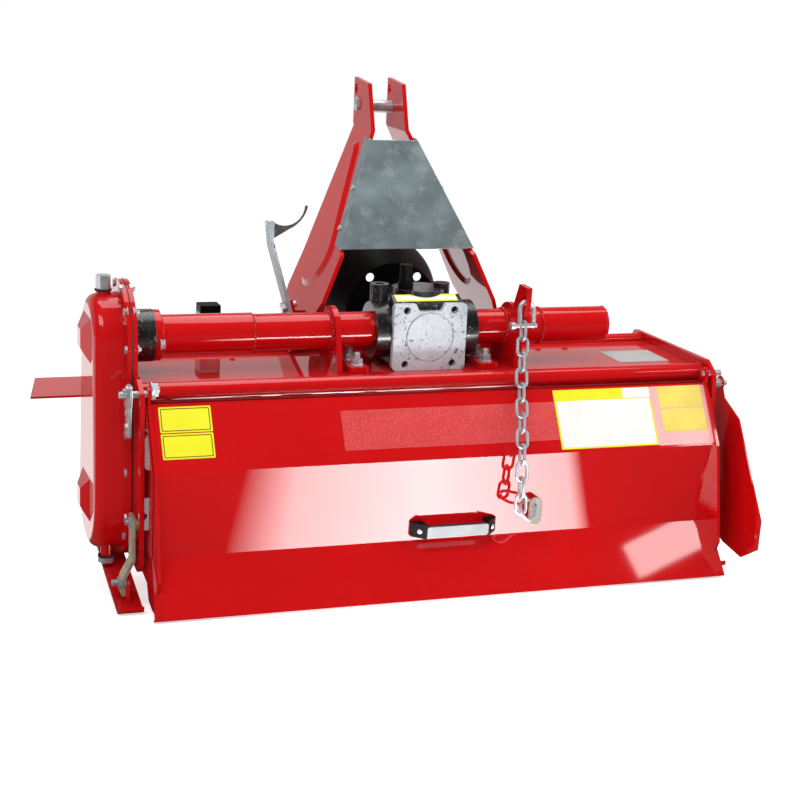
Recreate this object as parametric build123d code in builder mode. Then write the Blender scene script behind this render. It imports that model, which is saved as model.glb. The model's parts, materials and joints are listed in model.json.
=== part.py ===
"""Rotary tiller for a compact tractor, stored as it parks: on its two skids and its front stand, leaning back.

Lengths are millimetres. Every sketch is drawn in the machine's own frame, in which the deck is level:
X to the right seen from behind, Y forward to the tractor, Z up. PARKED turns that frame into the stored one.
"""

from build123d import *
from math import asin, atan2, cos, degrees, hypot, radians, sin
import os

os.makedirs("parts", exist_ok=True)

# Attitude and origin
LEAN = 8.0  # the machine leans back by this angle on its skids and stand
MIDDLE_X = -52.5  # middle of the whole machine's width
MIDDLE_Y = 215.41  # middle of its length over the floor, in the parked attitude
LIFT = 4.0  # height over the floor of the frame's own origin, at the foot of the tailgate
PARKED = Location((-MIDDLE_X, -MIDDLE_Y, LIFT), (LEAN, 0, 0))

# Hood
SIDE_IN = 532.0  # centre plane to the inner face of a side plate
SIDE_T = 8.0
SIDE_OUT = SIDE_IN + SIDE_T
SHEET = 4.0
DECK_TOP = 362.0
RAIL_Y, RAIL_Z, RAIL_R = 134.0, 354.0, 17.0
FRONT_RAIL_Y, FRONT_RAIL_Z, FRONT_RAIL_R = 384.0, 362.0, 13.0

# Drive line: cross shaft in the main tube, rotor below it, gearbox in the middle
CENTRE_X = 6.0  # gearbox and hitch frame stand this far right of the middle of the hood
SHAFT_Y, SHAFT_Z = 247.0, 428.0
ROTOR_Y, ROTOR_Z = 252.0, 155.0
TINE_R = 178.0
ROTOR_TUBE_R = 38.0
BOX_REAR_Y, BOX_FRONT_Y = 190.0, 305.0
BOX_HALF_W = 70.0
BOX_LOW_Z, BOX_HIGH_Z = DECK_TOP, 484.0
TUBE_R, SLEEVE_R = 33.0, 35.5

# Tailgate
GATE_HALF = 526.0
HINGE_Y, HINGE_Z, HINGE_R = 100.0, 360.0, 6.0
GATE_T = 3.0
GATE = [(99, 343), (34, 240), (38, 93), (-25, 3.5), (-14, -0.5)]  # rear face from top edge to lip: y, z

# Hitch
TOP_HOLE_Y, TOP_HOLE_Z, TOP_HOLE_R = 563.0, 836.0, 9.75
TOP_PIN_Z, TOP_PIN_R = 804.0, 9.5
LEG_IN, LEG_T = 30.0, 8.0  # half gap between the legs at the top, plate thickness
KINK_Z = 765.0
FLARE = 24.0  # the legs spread by this angle below the kink
LOW_PIN_Y, LOW_PIN_Z, LOW_PIN_R = 535.0, 345.0, 11.15
LOW_PIN_SHOULDER = 341.5  # half the spread of the lower hitch points
RUN_FIT = 0.05  # radial clearance of a pin or shaft that turns in its bore

# Stand
STAND_X, STAND_Y, STAND_SIDE, STAND_TOP = CENTRE_X - LOW_PIN_SHOULDER, 482.0, 40.0, 419.0


def parked(origin, x_dir, z_dir):
    """Plane stated in the machine's frame, turned into the stored attitude."""
    return Plane(PARKED * Plane(origin=origin, x_dir=x_dir, z_dir=z_dir).location)


def side(x):
    """Plane across X at x: sketch x is the machine's y, sketch y its z."""
    return parked((x, 0, 0), (0, 1, 0), (1, 0, 0))


def level(z):
    """Plane level with the deck at z: sketch x and y are the machine's."""
    return parked((0, 0, z), (1, 0, 0), (0, 0, 1))


def rear(y):
    """Plane that faces backwards at y: sketch x is x, sketch y is z, and it extrudes to the rear."""
    return parked((0, y, 0), (1, 0, 0), (0, -1, 0))


def outline(points, radius=0.0):
    """Closed face through the points, its corners rounded; call it inside a BuildSketch."""
    with BuildLine() as edge:
        if radius:
            FilletPolyline(*points, radius=radius, close=True)
        else:
            Polyline(*points, close=True)
    make_face(edge.line.edges())


def sheet_line(points, thickness, inwards=Side.LEFT):
    """Bent sheet seen edge on: an open line thickened to one side; call it inside a BuildSketch."""
    with BuildLine() as edge:
        Polyline(*points)
        offset(amount=thickness, side=inwards)
    make_face(edge.line.edges())


def stadium(low, high, radius, mode=Mode.ADD):
    """Face round two centres; call it inside a BuildSketch."""
    run = hypot(high[0] - low[0], high[1] - low[1])
    turn = degrees(atan2(high[1] - low[1], high[0] - low[0]))
    with Locations(Location(((low[0] + high[0]) / 2, (low[1] + high[1]) / 2, 0), (0, 0, turn))):
        SlotCenterToCenter(run, 2 * radius, mode=mode)


def egg(low, low_r, high, high_r, mode=Mode.ADD):
    """Face round two circles of different size and the two lines that touch both; call it inside a BuildSketch."""
    run = hypot(high[0] - low[0], high[1] - low[1])
    turn = degrees(atan2(high[1] - low[1], high[0] - low[0]))
    lean = degrees(asin((low_r - high_r) / run))
    with BuildLine() as edge:
        top = CenterArc(high, high_r, turn - 90 + lean, 180 - 2 * lean)
        bottom = CenterArc(low, low_r, turn + 90 - lean, 180 + 2 * lean)
        Line(top @ 1, bottom @ 0)
        Line(bottom @ 1, top @ 0)
    make_face(edge.line.edges(), mode=mode)


# ---------------------------------------------------------------- hood

SIDE_EDGE = [(80, 64), (98, 47), (300, 60), (430, 96), (455, 140), (455, 300), (412, 378), (116, 382), (84, 362), (80, 300)]
CASE_LOW, CASE_HIGH = (ROTOR_Y, ROTOR_Z - 12), (SHAFT_Y, SHAFT_Z)  # centres of the side gear case's round ends
FLANGE_LOW_R, FLANGE_HIGH_R = 108.0, 99.0
SHELL_LOW_R, SHELL_HIGH_R = 96.0, 77.0

with BuildPart() as side_plate_left:
    with BuildSketch(side(-SIDE_OUT)):
        outline(SIDE_EDGE, 12)
        egg(CASE_LOW, FLANGE_LOW_R, CASE_HIGH, FLANGE_HIGH_R)
        with Locations((ROTOR_Y, ROTOR_Z)):
            Circle(30, mode=Mode.SUBTRACT)
        with Locations((HINGE_Y, HINGE_Z)):
            Circle(HINGE_R, mode=Mode.SUBTRACT)
    extrude(amount=SIDE_T)
side_plate_left.part.label = "side_plate_left"
export_step(side_plate_left.part, "parts/side_plate_left.step")

with BuildPart() as side_plate_right:
    with BuildSketch(side(SIDE_IN)):
        outline(SIDE_EDGE, 12)
        with Locations((ROTOR_Y, ROTOR_Z)):
            Circle(30, mode=Mode.SUBTRACT)
        with Locations((HINGE_Y, HINGE_Z)):
            Circle(HINGE_R, mode=Mode.SUBTRACT)
    extrude(amount=SIDE_T)
side_plate_right.part.label = "side_plate_right"
export_step(side_plate_right.part, "parts/side_plate_right.step")

# Bent roof of the hood: level to the front rail, then down in front of the rotor
DECK_LINE = [(RAIL_Y, DECK_TOP), (369, DECK_TOP), (400, 302), (448, 215), (448, 202)]
with BuildPart() as deck:
    with BuildSketch(side(-SIDE_IN)):
        sheet_line(DECK_LINE, SHEET, Side.RIGHT)
    extrude(amount=2 * SIDE_IN)
    with BuildSketch(side(-SIDE_IN)):
        with Locations((RAIL_Y, RAIL_Z)):
            Circle(RAIL_R)
    extrude(amount=2 * SIDE_IN, mode=Mode.SUBTRACT)
deck.part.label = "deck"
export_step(deck.part, "parts/deck.step")

RAILS = [(RAIL_Y, RAIL_Z, RAIL_R), (FRONT_RAIL_Y, FRONT_RAIL_Z, FRONT_RAIL_R)]
with BuildPart() as hood_rails:
    for y, z, radius in RAILS:
        with BuildSketch(side(-SIDE_IN)):
            with Locations((y, z)):
                Circle(radius)
        extrude(amount=2 * SIDE_IN)
hood_rails.part.label = "hood_rails"
export_step(hood_rails.part, "parts/hood_rails.step")

# ---------------------------------------------------------------- side gear case

GASKET_T, FLANGE_T, SHELL_T, SHELL_ROUND = 2.0, 8.0, 52.0, 18.0
BULGE_T, BULGE_SIDE, BULGE_TAPER = 14.0, 78.0, 58.0  # blunt pyramids on the outer face, one over each axis
NECK_X, DRAIN_Y = -574.5, 208.0  # filler neck on top of the case, drain neck below it
NECK_TOP, NECK_FOOT = 510.0, 43.0
case_in = -SIDE_OUT - GASKET_T
case_out = case_in - FLANGE_T - SHELL_T

with BuildPart() as gear_case:
    with BuildSketch(side(case_in)):
        egg(CASE_LOW, FLANGE_LOW_R, CASE_HIGH, FLANGE_HIGH_R)
    extrude(amount=-FLANGE_T)
    with BuildSketch(side(case_in - FLANGE_T)):
        egg(CASE_LOW, SHELL_LOW_R, CASE_HIGH, SHELL_HIGH_R)
    extrude(amount=-SHELL_T, taper=3)
    fillet(gear_case.faces().sort_by(Axis.X)[0].edges(), SHELL_ROUND)
    for middle in (CASE_LOW, CASE_HIGH):
        with BuildSketch(side(case_out)):
            with Locations(middle):
                Rectangle(BULGE_SIDE, BULGE_SIDE)
        extrude(amount=-BULGE_T, taper=BULGE_TAPER)
    with BuildSketch(level(NECK_TOP)):
        with Locations((NECK_X, SHAFT_Y)):
            Circle(13)
    extrude(amount=-25)
    with BuildSketch(level(NECK_FOOT)):
        with Locations((NECK_X, DRAIN_Y)):
            Circle(10)
    extrude(amount=25)
gear_case.part.label = "gear_case"
export_step(gear_case.part, "parts/gear_case.step")

with BuildPart() as case_gasket:
    with BuildSketch(side(-SIDE_OUT)):
        egg(CASE_LOW, FLANGE_LOW_R, CASE_HIGH, FLANGE_HIGH_R)
        egg(CASE_LOW, FLANGE_LOW_R - 20, CASE_HIGH, FLANGE_HIGH_R - 20, Mode.SUBTRACT)
    extrude(amount=-GASKET_T)
case_gasket.part.label = "case_gasket"
export_step(case_gasket.part, "parts/case_gasket.step")

# Hexagon caps of the filler and the drain
with BuildPart() as fill_cap:
    with BuildSketch(level(NECK_TOP)):
        with Locations((NECK_X, SHAFT_Y)):
            RegularPolygon(13, 6)
    extrude(amount=26)
fill_cap.part.label = "fill_cap"
export_step(fill_cap.part, "parts/fill_cap.step")

with BuildPart() as drain_plug:
    with BuildSketch(level(NECK_FOOT)):
        with Locations((NECK_X, DRAIN_Y)):
            RegularPolygon(14, 6)
    extrude(amount=-12)
drain_plug.part.label = "drain_plug"
export_step(drain_plug.part, "parts/drain_plug.step")

# ---------------------------------------------------------------- main tube and gearbox

BOX_SIDE = 97.0  # centre of the gearbox to its side flanges
with BuildPart() as bearing_housing:
    with BuildSketch(side(-SIDE_IN)):
        with Locations((SHAFT_Y, SHAFT_Z)):
            Circle(46)
    extrude(amount=42)
bearing_housing.part.label = "bearing_housing"
export_step(bearing_housing.part, "parts/bearing_housing.step")

with BuildPart() as main_tube_left:
    with BuildSketch(side(-490)):
        with Locations((SHAFT_Y, SHAFT_Z)):
            Circle(45)
    extrude(amount=12)
    with BuildSketch(side(-478)):
        with Locations((SHAFT_Y, SHAFT_Z)):
            Circle(SLEEVE_R)
    extrude(amount=164)
    with BuildSketch(side(-314)):
        with Locations((SHAFT_Y, SHAFT_Z)):
            Circle(TUBE_R)
    extrude(amount=314 - BOX_SIDE + CENTRE_X)
main_tube_left.part.label = "main_tube_left"
export_step(main_tube_left.part, "parts/main_tube_left.step")

with BuildPart() as main_tube_right:
    with BuildSketch(side(CENTRE_X + BOX_SIDE)):
        with Locations((SHAFT_Y, SHAFT_Z)):
            Circle(TUBE_R - 1)
    extrude(amount=242 - CENTRE_X - BOX_SIDE)
    with BuildSketch(side(242)):
        with Locations((SHAFT_Y, SHAFT_Z)):
            Circle(TUBE_R)
    extrude(amount=134)
main_tube_right.part.label = "main_tube_right"
export_step(main_tube_right.part, "parts/main_tube_right.step")

# Saddle plates that stand on the deck and carry the tube; x is each plate's left face
SADDLES = [(-168.0, TUBE_R), (180.0, TUBE_R - 1)]
with BuildPart() as tube_saddles:
    for x, bore in SADDLES:
        with BuildSketch(side(x)):
            outline([(185, DECK_TOP), (300, DECK_TOP), (290, SHAFT_Z + 12), (204, SHAFT_Z + 12)])
            with Locations((SHAFT_Y, SHAFT_Z)):
                Circle(45)
                Circle(bore, mode=Mode.SUBTRACT)
        extrude(amount=10)
tube_saddles.part.label = "tube_saddles"
export_step(tube_saddles.part, "parts/tube_saddles.step")

# Plate round the right tube that rises behind it and carries the shackle of the tailgate's chain
CHAIN_X, CHAIN_PLATE_T = 175.0, 10.0
SHACKLE_Y, SHACKLE_Z, SHACKLE_HOLE_R = 151.5, 495.0, 8.0
CHAIN_PLATE = [
    (182, DECK_TOP), (180, 394), (172, 410), (160, 432), (160, 460), (148, 465), (142, 493), (141, 519),
    (178, 520), (199, 480), (216, 446), (285, 410), (297, DECK_TOP),
]
with BuildPart() as chain_bracket:
    with BuildSketch(side(CHAIN_X - CHAIN_PLATE_T / 2)):
        outline(CHAIN_PLATE)
        with Locations((SHAFT_Y, SHAFT_Z)):
            Circle(TUBE_R - 1, mode=Mode.SUBTRACT)
        with Locations((SHACKLE_Y, SHACKLE_Z)):
            Circle(SHACKLE_HOLE_R, mode=Mode.SUBTRACT)
    extrude(amount=CHAIN_PLATE_T)
chain_bracket.part.label = "chain_bracket"
export_step(chain_bracket.part, "parts/chain_bracket.step")

# Cast gearbox: block, round side flanges, snout towards the tractor, two bosses on top
with BuildPart() as gearbox_housing:
    with BuildSketch(rear(BOX_FRONT_Y)):
        with Locations((CENTRE_X, (BOX_LOW_Z + BOX_HIGH_Z) / 2)):
            RectangleRounded(2 * BOX_HALF_W, BOX_HIGH_Z - BOX_LOW_Z, 14)
    extrude(amount=BOX_FRONT_Y - BOX_REAR_Y - 12)
    with BuildSketch(side(CENTRE_X - BOX_SIDE)):
        with Locations((SHAFT_Y, SHAFT_Z)):
            Circle(51)
    extrude(amount=2 * BOX_SIDE)
    with BuildSketch(rear(BOX_REAR_Y + 12)):
        with Locations((CENTRE_X, (BOX_LOW_Z + BOX_HIGH_Z) / 2)):
            Rectangle(2 * BOX_HALF_W, BOX_HIGH_Z - BOX_LOW_Z)
    extrude(amount=20, mode=Mode.SUBTRACT)
    with BuildSketch(rear(BOX_FRONT_Y + 85)):
        with Locations((CENTRE_X, SHAFT_Z)):
            Circle(48)
    extrude(amount=100)
    with BuildSketch(rear(BOX_FRONT_Y + 97)):
        with Locations((CENTRE_X, SHAFT_Z)):
            Circle(50)
    extrude(amount=12)
    with BuildSketch(level(BOX_HIGH_Z - 8)):
        with Locations((CENTRE_X, 262)):
            Circle(48)
    extrude(amount=26)
    with BuildSketch(level(BOX_HIGH_Z - 24)):
        with Locations((CENTRE_X - 80, 250)):
            Circle(17)
        with Locations((CENTRE_X + 40, 250)):
            Circle(15)
    extrude(amount=52)
    with BuildSketch(level(BOX_HIGH_Z + 28)):
        with Locations((CENTRE_X - 80, 250)):
            Circle(9)
    extrude(amount=-16, mode=Mode.SUBTRACT)
    with BuildSketch(rear(BOX_FRONT_Y + 97)):
        with Locations((CENTRE_X, SHAFT_Z)):
            Circle(18 + RUN_FIT)
    extrude(amount=150, mode=Mode.SUBTRACT)
gearbox_housing.part.label = "gearbox_housing"
export_step(gearbox_housing.part, "parts/gearbox_housing.step")

# Machined face: its top edge dips between the lobes of the upper holes, and a groove rings the middle
COVER_HOLES, COVER_HOLE_R, COVER_GROOVE_R = (91.0, 99.0), 6.75, 45.5
with BuildPart() as gearbox_cover:
    with BuildSketch(rear(BOX_REAR_Y + 12)):
        with Locations((CENTRE_X, (BOX_LOW_Z + BOX_HIGH_Z) / 2)):
            RectangleRounded(2 * BOX_HALF_W, BOX_HIGH_Z - BOX_LOW_Z, 8)
            with GridLocations(*COVER_HOLES, 2, 2):
                Circle(COVER_HOLE_R, mode=Mode.SUBTRACT)
        with Locations((CENTRE_X, BOX_HIGH_Z)):
            Trapezoid(74, 28, 60, rotation=180, mode=Mode.SUBTRACT)
    extrude(amount=12)
    with BuildSketch(rear(BOX_REAR_Y + 2)):
        with Locations((CENTRE_X, (BOX_LOW_Z + BOX_HIGH_Z) / 2)):
            Circle(COVER_GROOVE_R)
            Circle(COVER_GROOVE_R - 1.5, mode=Mode.SUBTRACT)
    extrude(amount=2, mode=Mode.SUBTRACT)
gearbox_cover.part.label = "gearbox_cover"
export_step(gearbox_cover.part, "parts/gearbox_cover.step")

with BuildPart() as gearbox_caps:
    with BuildSketch(level(BOX_HIGH_Z + 18)):
        with Locations((CENTRE_X - 30, 250)):
            Circle(14)
    extrude(amount=12)
    with BuildSketch(level(BOX_HIGH_Z + 30)):
        with Locations((CENTRE_X - 30, 250)):
            Circle(11.5)
    extrude(amount=32)
gearbox_caps.part.label = "gearbox_caps"
export_step(gearbox_caps.part, "parts/gearbox_caps.step")

SHAFT_END_Y = 470.0
with BuildPart() as input_shaft:
    with BuildSketch(rear(SHAFT_END_Y)):
        with Locations((CENTRE_X, SHAFT_Z)):
            Circle(17.4)
    extrude(amount=66)
    with BuildSketch(rear(SHAFT_END_Y - 66)):
        with Locations((CENTRE_X, SHAFT_Z)):
            Circle(18)
    extrude(amount=140)
input_shaft.part.label = "input_shaft"
export_step(input_shaft.part, "parts/input_shaft.step")

# Bell round the shaft: back wall bolted to the snout, skirt flared towards the tractor
SHIELD_BACK_Y, SHIELD_T, SHIELD_LONG = BOX_FRONT_Y + 97, 4.0, 115.0
SHIELD_R, SHIELD_MOUTH_R = 93.0, 130.0
SHIELD_HOLE, SHIELD_HOLE_R = (47.5, 66.0), 8.5  # sideways and up from the shaft
with BuildPart() as shaft_shield:
    with BuildSketch(side(CENTRE_X)):
        outline([
            (SHIELD_BACK_Y, SHAFT_Z + 30),
            (SHIELD_BACK_Y, SHAFT_Z + SHIELD_R),
            (SHIELD_BACK_Y + SHIELD_LONG, SHAFT_Z + SHIELD_MOUTH_R),
            (SHIELD_BACK_Y + SHIELD_LONG, SHAFT_Z + SHIELD_MOUTH_R - SHIELD_T),
            (SHIELD_BACK_Y + SHIELD_T, SHAFT_Z + SHIELD_R - SHIELD_T),
            (SHIELD_BACK_Y + SHIELD_T, SHAFT_Z + 30),
        ])
    shaft_line = PARKED * Location((CENTRE_X, 0, SHAFT_Z))
    revolve(axis=Axis(shaft_line.position, (0, cos(radians(LEAN)), sin(radians(LEAN)))))
    with BuildSketch(rear(SHIELD_BACK_Y + 10)):
        for hand in (-1, 1):
            with Locations((CENTRE_X + hand * SHIELD_HOLE[0], SHAFT_Z + SHIELD_HOLE[1])):
                Circle(SHIELD_HOLE_R)
    extrude(amount=20, mode=Mode.SUBTRACT)
shaft_shield.part.label = "shaft_shield"
export_step(shaft_shield.part, "parts/shaft_shield.step")

# Blocks under the gearbox that its four bolts clamp it to
with BuildPart() as gearbox_feet:
    with BuildSketch(level(DECK_TOP)):
        for x in (CENTRE_X - 135, CENTRE_X + 113):
            with Locations((x, 197), (x, 240)):
                RectangleRounded(36, 36, 4)
    extrude(amount=12)
gearbox_feet.part.label = "gearbox_feet"
export_step(gearbox_feet.part, "parts/gearbox_feet.step")

# ---------------------------------------------------------------- hitch frame

LEG_TOP = [(492, 851), (576, 858), (576, 771), (571, KINK_Z), (461, KINK_Z)]
LEG_LOW = [
    (461, 0), (571, 0), (528, -262), (524, -338), (470, -420), (400, -441), (350, -441),
    (305, -330), (322, -236), (352, -222),
]
RIB = ((436, -253), 68.0, (507, -60), 30.0)  # egg pressed outwards in each leg: low centre and radius, high ones
RIB_T, RIB_TAPER = 6.0, 60.0
for node, hand in (("hitch_leg_left", -1), ("hitch_leg_right", 1)):
    inner = CENTRE_X + hand * LEG_IN
    with BuildPart() as leg:
        with BuildSketch(side(inner)):
            outline(LEG_TOP)
            with Locations((TOP_HOLE_Y, TOP_HOLE_Z)):
                Circle(TOP_HOLE_R, mode=Mode.SUBTRACT)
            with Locations((TOP_HOLE_Y - 14, TOP_PIN_Z)):
                Circle(TOP_PIN_R, mode=Mode.SUBTRACT)
        extrude(amount=hand * LEG_T)
        tilt = (cos(radians(FLARE)), 0, hand * sin(radians(FLARE)))
        flared = parked((inner, 0, KINK_Z), (0, 1, 0), tilt)
        with BuildSketch(flared):
            outline(LEG_LOW)
        extrude(amount=hand * LEG_T)
        with BuildSketch(flared.offset(hand * LEG_T)):
            egg(*RIB)
        extrude(amount=hand * RIB_T, taper=RIB_TAPER)
        with BuildSketch(flared):
            egg(*RIB)
        extrude(amount=hand * RIB_T, taper=RIB_TAPER, mode=Mode.SUBTRACT)
        with BuildSketch(side(-SIDE_IN)):
            with Locations((FRONT_RAIL_Y, FRONT_RAIL_Z)):
                Circle(FRONT_RAIL_R)
        extrude(amount=2 * SIDE_IN, mode=Mode.SUBTRACT)
    leg.part.label = node
    export_step(leg.part, f"parts/{node}.step")

with BuildPart() as top_link_bolt:
    with BuildSketch(side(CENTRE_X - LEG_IN)):
        with Locations((TOP_HOLE_Y - 14, TOP_PIN_Z)):
            Circle(12.5)
    extrude(amount=2 * LEG_IN)
    with BuildSketch(side(CENTRE_X - LEG_IN - LEG_T - 5)):
        with Locations((TOP_HOLE_Y - 14, TOP_PIN_Z)):
            Circle(TOP_PIN_R)
    extrude(amount=2 * (LEG_IN + LEG_T) + 19)
top_link_bolt.part.label = "top_link_bolt"
export_step(top_link_bolt.part, "parts/top_link_bolt.step")

GUARD_T, GUARD_LAP = 3.0, 30.0
GUARD_TOP, GUARD_BOTTOM = (441.5, 749.0), (336.0, 559.0)  # middle line of the plate: y, z


def leg_outer(z):
    """Half width over the legs' outer faces at this height, below the kink."""
    return LEG_IN + LEG_T / cos(radians(FLARE)) + (KINK_Z - z) * sin(radians(FLARE)) / cos(radians(FLARE))


# Guard that closes the hitch frame's rear: sloping plate with a flange round each leg
with BuildPart() as hitch_guard:
    run = hypot(GUARD_TOP[0] - GUARD_BOTTOM[0], GUARD_TOP[1] - GUARD_BOTTOM[1])
    climb = ((GUARD_TOP[0] - GUARD_BOTTOM[0]) / run, (GUARD_TOP[1] - GUARD_BOTTOM[1]) / run)
    low, high = leg_outer(GUARD_BOTTOM[1]) + GUARD_T, leg_outer(GUARD_TOP[1]) + GUARD_T
    with BuildSketch(parked((CENTRE_X, *GUARD_BOTTOM), (1, 0, 0), (0, -climb[1], climb[0]))):
        outline([(-low, 0), (low, 0), (high, run), (-high, run)])
    extrude(amount=GUARD_T)
    for hand in (-1, 1):
        tilt = (cos(radians(FLARE)), 0, hand * sin(radians(FLARE)))
        skin = (CENTRE_X + hand * (LEG_IN + LEG_T * cos(radians(FLARE))), 0, KINK_Z + LEG_T * sin(radians(FLARE)))
        top_s, low_s = ((KINK_Z - z) / cos(radians(FLARE)) for z in (GUARD_TOP[1], GUARD_BOTTOM[1]))
        edge = [(GUARD_TOP[0], -top_s), (GUARD_TOP[0] + GUARD_LAP, -top_s), (GUARD_BOTTOM[0] + GUARD_LAP, -low_s)]
        with BuildSketch(parked(skin, (0, 1, 0), tilt)):
            outline([*edge, (GUARD_BOTTOM[0], -low_s)])
        extrude(amount=hand * GUARD_T)
hitch_guard.part.label = "hitch_guard"
export_step(hitch_guard.part, "parts/hitch_guard.step")

# Clevises for the tractor's lower links, welded to the front of the hood
CLEVIS_GAP, CLEVIS_T = 50.0, 8.0
CLEVIS = [(400, 302), (440, 229.5), (470, 245), (552, 318), (562, 345), (552, 372), (530, 382), (400, 384)]
with BuildPart() as lower_hitch_plates:
    for middle in (CENTRE_X - LOW_PIN_SHOULDER, CENTRE_X + LOW_PIN_SHOULDER):
        for x in (-CLEVIS_GAP / 2 - CLEVIS_T, CLEVIS_GAP / 2):
            with BuildSketch(side(middle + x)):
                outline(CLEVIS)
                with Locations((LOW_PIN_Y, LOW_PIN_Z)):
                    Circle(LOW_PIN_R, mode=Mode.SUBTRACT)
            extrude(amount=CLEVIS_T)
lower_hitch_plates.part.label = "lower_hitch_plates"
export_step(lower_hitch_plates.part, "parts/lower_hitch_plates.step")

# ---------------------------------------------------------------- front stand

SOCKET_FIT = 0.5
STAND_UP = (0, 0, 1)
with BuildPart() as stand_socket:
    with BuildSketch(level(285)):
        with Locations((STAND_X, STAND_Y)):
            Rectangle(CLEVIS_GAP, CLEVIS_GAP)
            Rectangle(STAND_SIDE + 2 * SOCKET_FIT, STAND_SIDE + 2 * SOCKET_FIT, mode=Mode.SUBTRACT)
    extrude(amount=80)
stand_socket.part.label = "stand_socket"
export_step(stand_socket.part, "parts/stand_socket.step")

FOOT_T, FOOT_SIDE = 6.0, 80.0
foot_z = (FOOT_T - LIFT - STAND_Y * sin(radians(LEAN))) / cos(radians(LEAN))  # where the leg's middle meets the foot
foot = PARKED * Location((STAND_X, STAND_Y, foot_z))
with BuildPart() as stand_leg:
    with BuildSketch(level(STAND_TOP)):
        with Locations((STAND_X, STAND_Y)):
            Rectangle(STAND_SIDE, STAND_SIDE)
            Rectangle(STAND_SIDE - 6, STAND_SIDE - 6, mode=Mode.SUBTRACT)
    extrude(amount=-(STAND_TOP - foot_z + 20))
    with Locations((foot.position.X, foot.position.Y, FOOT_T - 50)):
        Box(120, 120, 100, mode=Mode.SUBTRACT)
    with Locations((foot.position.X, foot.position.Y, FOOT_T / 2)):
        Box(FOOT_SIDE, FOOT_SIDE, FOOT_T)
stand_leg.part.label = "stand_leg"
export_step(stand_leg.part, "parts/stand_leg.step")

with BuildPart() as stand_cap:
    with BuildSketch(level(STAND_TOP)):
        with Locations((STAND_X, STAND_Y)):
            RectangleRounded(STAND_SIDE, STAND_SIDE, 3)
    extrude(amount=14)
stand_cap.part.label = "stand_cap"
export_step(stand_cap.part, "parts/stand_cap.step")

# ---------------------------------------------------------------- holder for the drive shaft

HOLDER_X, HOLDER_Y, HOLDER_Z = -217.4, 362.0, 449.0  # bolt, on the bar's left face
HOLDER_T, HOLDER_W, HOLDER_TILT = 6.0, 40.0, 16.7  # flat bar that leans to the left by the tilt
across = (cos(radians(HOLDER_TILT)), 0, sin(radians(HOLDER_TILT)))  # through the bar, to the right
bar_face = parked((HOLDER_X, HOLDER_Y, HOLDER_Z), (0, 1, 0), across)
with BuildPart() as holder_bracket:
    with BuildSketch(bar_face.offset(HOLDER_T)):
        outline([(-18, -32), (22, -32), (22, 14), (-18, 14)])
        Circle(6, mode=Mode.SUBTRACT)
    extrude(amount=6)
    with BuildSketch(rear(HOLDER_Y + 16)):
        low, high = CENTRE_X - leg_outer(420), CENTRE_X - leg_outer(440)
        outline([(low, 420), (high, 440), (-203, 440), (-197, 420)])
    extrude(amount=8)
holder_bracket.part.label = "holder_bracket"
export_step(holder_bracket.part, "parts/holder_bracket.step")

with BuildPart() as holder_bolt:
    with BuildSketch(bar_face.offset(-9)):
        Circle(6)
    extrude(amount=30)
    with BuildSketch(bar_face.offset(-9)):
        RegularPolygon(10, 6)
    extrude(amount=8.5)
holder_bolt.part.label = "holder_bolt"
export_step(holder_bolt.part, "parts/holder_bolt.step")

# The bar's top is cut on a slope, and a crescent for the drive shaft is welded to its rear edge
CRESCENT_T = 5.0
CRESCENT_HEEL, CRESCENT_TOE = [(-262, 609), (-251, 612), (-246, 607.5)], [(-191, 638.5), (-188.5, 640), (-186.5, 637.5)]
with BuildPart() as holder_arm:
    with BuildSketch(bar_face):
        outline([(-HOLDER_W / 2, -15), (HOLDER_W / 2, -15), (HOLDER_W / 2, 118), (-HOLDER_W / 2, 170)])
        Circle(6 + RUN_FIT, mode=Mode.SUBTRACT)
    extrude(amount=HOLDER_T)
    with BuildSketch(rear(HOLDER_Y - HOLDER_W / 2 + CRESCENT_T)):
        with BuildLine() as edge:
            Polyline(*CRESCENT_HEEL)
            ThreePointArc(CRESCENT_HEEL[2], (-213, 606), CRESCENT_TOE[0])
            Polyline(*CRESCENT_TOE)
            ThreePointArc(CRESCENT_TOE[2], (-200, 612), (-220, 597.5))
            Polyline((-220, 597.5), (-253, 578), CRESCENT_HEEL[0])
        make_face()
    extrude(amount=CRESCENT_T)
holder_arm.part.label = "holder_arm"
export_step(holder_arm.part, "parts/holder_arm.step")

# ---------------------------------------------------------------- guard in front of the side gear case

with BuildPart() as front_guard:
    with BuildSketch(level(294)):
        outline([(-SIDE_OUT, 366), (-SIDE_OUT, 507), (-658, 507), (-684, 366)])
    extrude(amount=-4)
    with BuildSketch(side(-SIDE_OUT)):
        outline([(366, 292), (366, 256), (446, 256), (446, 292)])
    extrude(amount=-4)
front_guard.part.label = "front_guard"
export_step(front_guard.part, "parts/front_guard.step")

# ---------------------------------------------------------------- skids

SKID_IN, SKID_OUT, SKID_T = 535.5, 579.0, 8.0
SKID_RISE = 11.0  # the sole climbs forward by this angle from its rear end
SKID_Y = 66.0  # underside where the rear end turns up, on the floor
SKID_Z = -(LIFT + SKID_Y * sin(radians(LEAN))) / cos(radians(LEAN))
slope = sin(radians(SKID_RISE)) / cos(radians(SKID_RISE))
SKID_FRONT_Y = 425.0
SKID_LINE = [
    (SKID_Y - 18, SKID_Z + 9),
    (SKID_Y, SKID_Z),
    (SKID_FRONT_Y, SKID_Z + slope * (SKID_FRONT_Y - SKID_Y)),
    (SKID_FRONT_Y + 25, SKID_Z + slope * (SKID_FRONT_Y - SKID_Y) + 26),
]
SKID_PLAN_LONG = SKID_LINE[3][0] - SKID_LINE[0][0] + 12  # the ends are rounded in plan
SKID_PLAN_Y = (SKID_LINE[3][0] + SKID_LINE[0][0]) / 2
STRAP_HIGH, STRAP_LOW, STRAP_T = 546.0, 562.0, 6.0  # centre plane to the strap's inner face, over and under its kink
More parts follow.
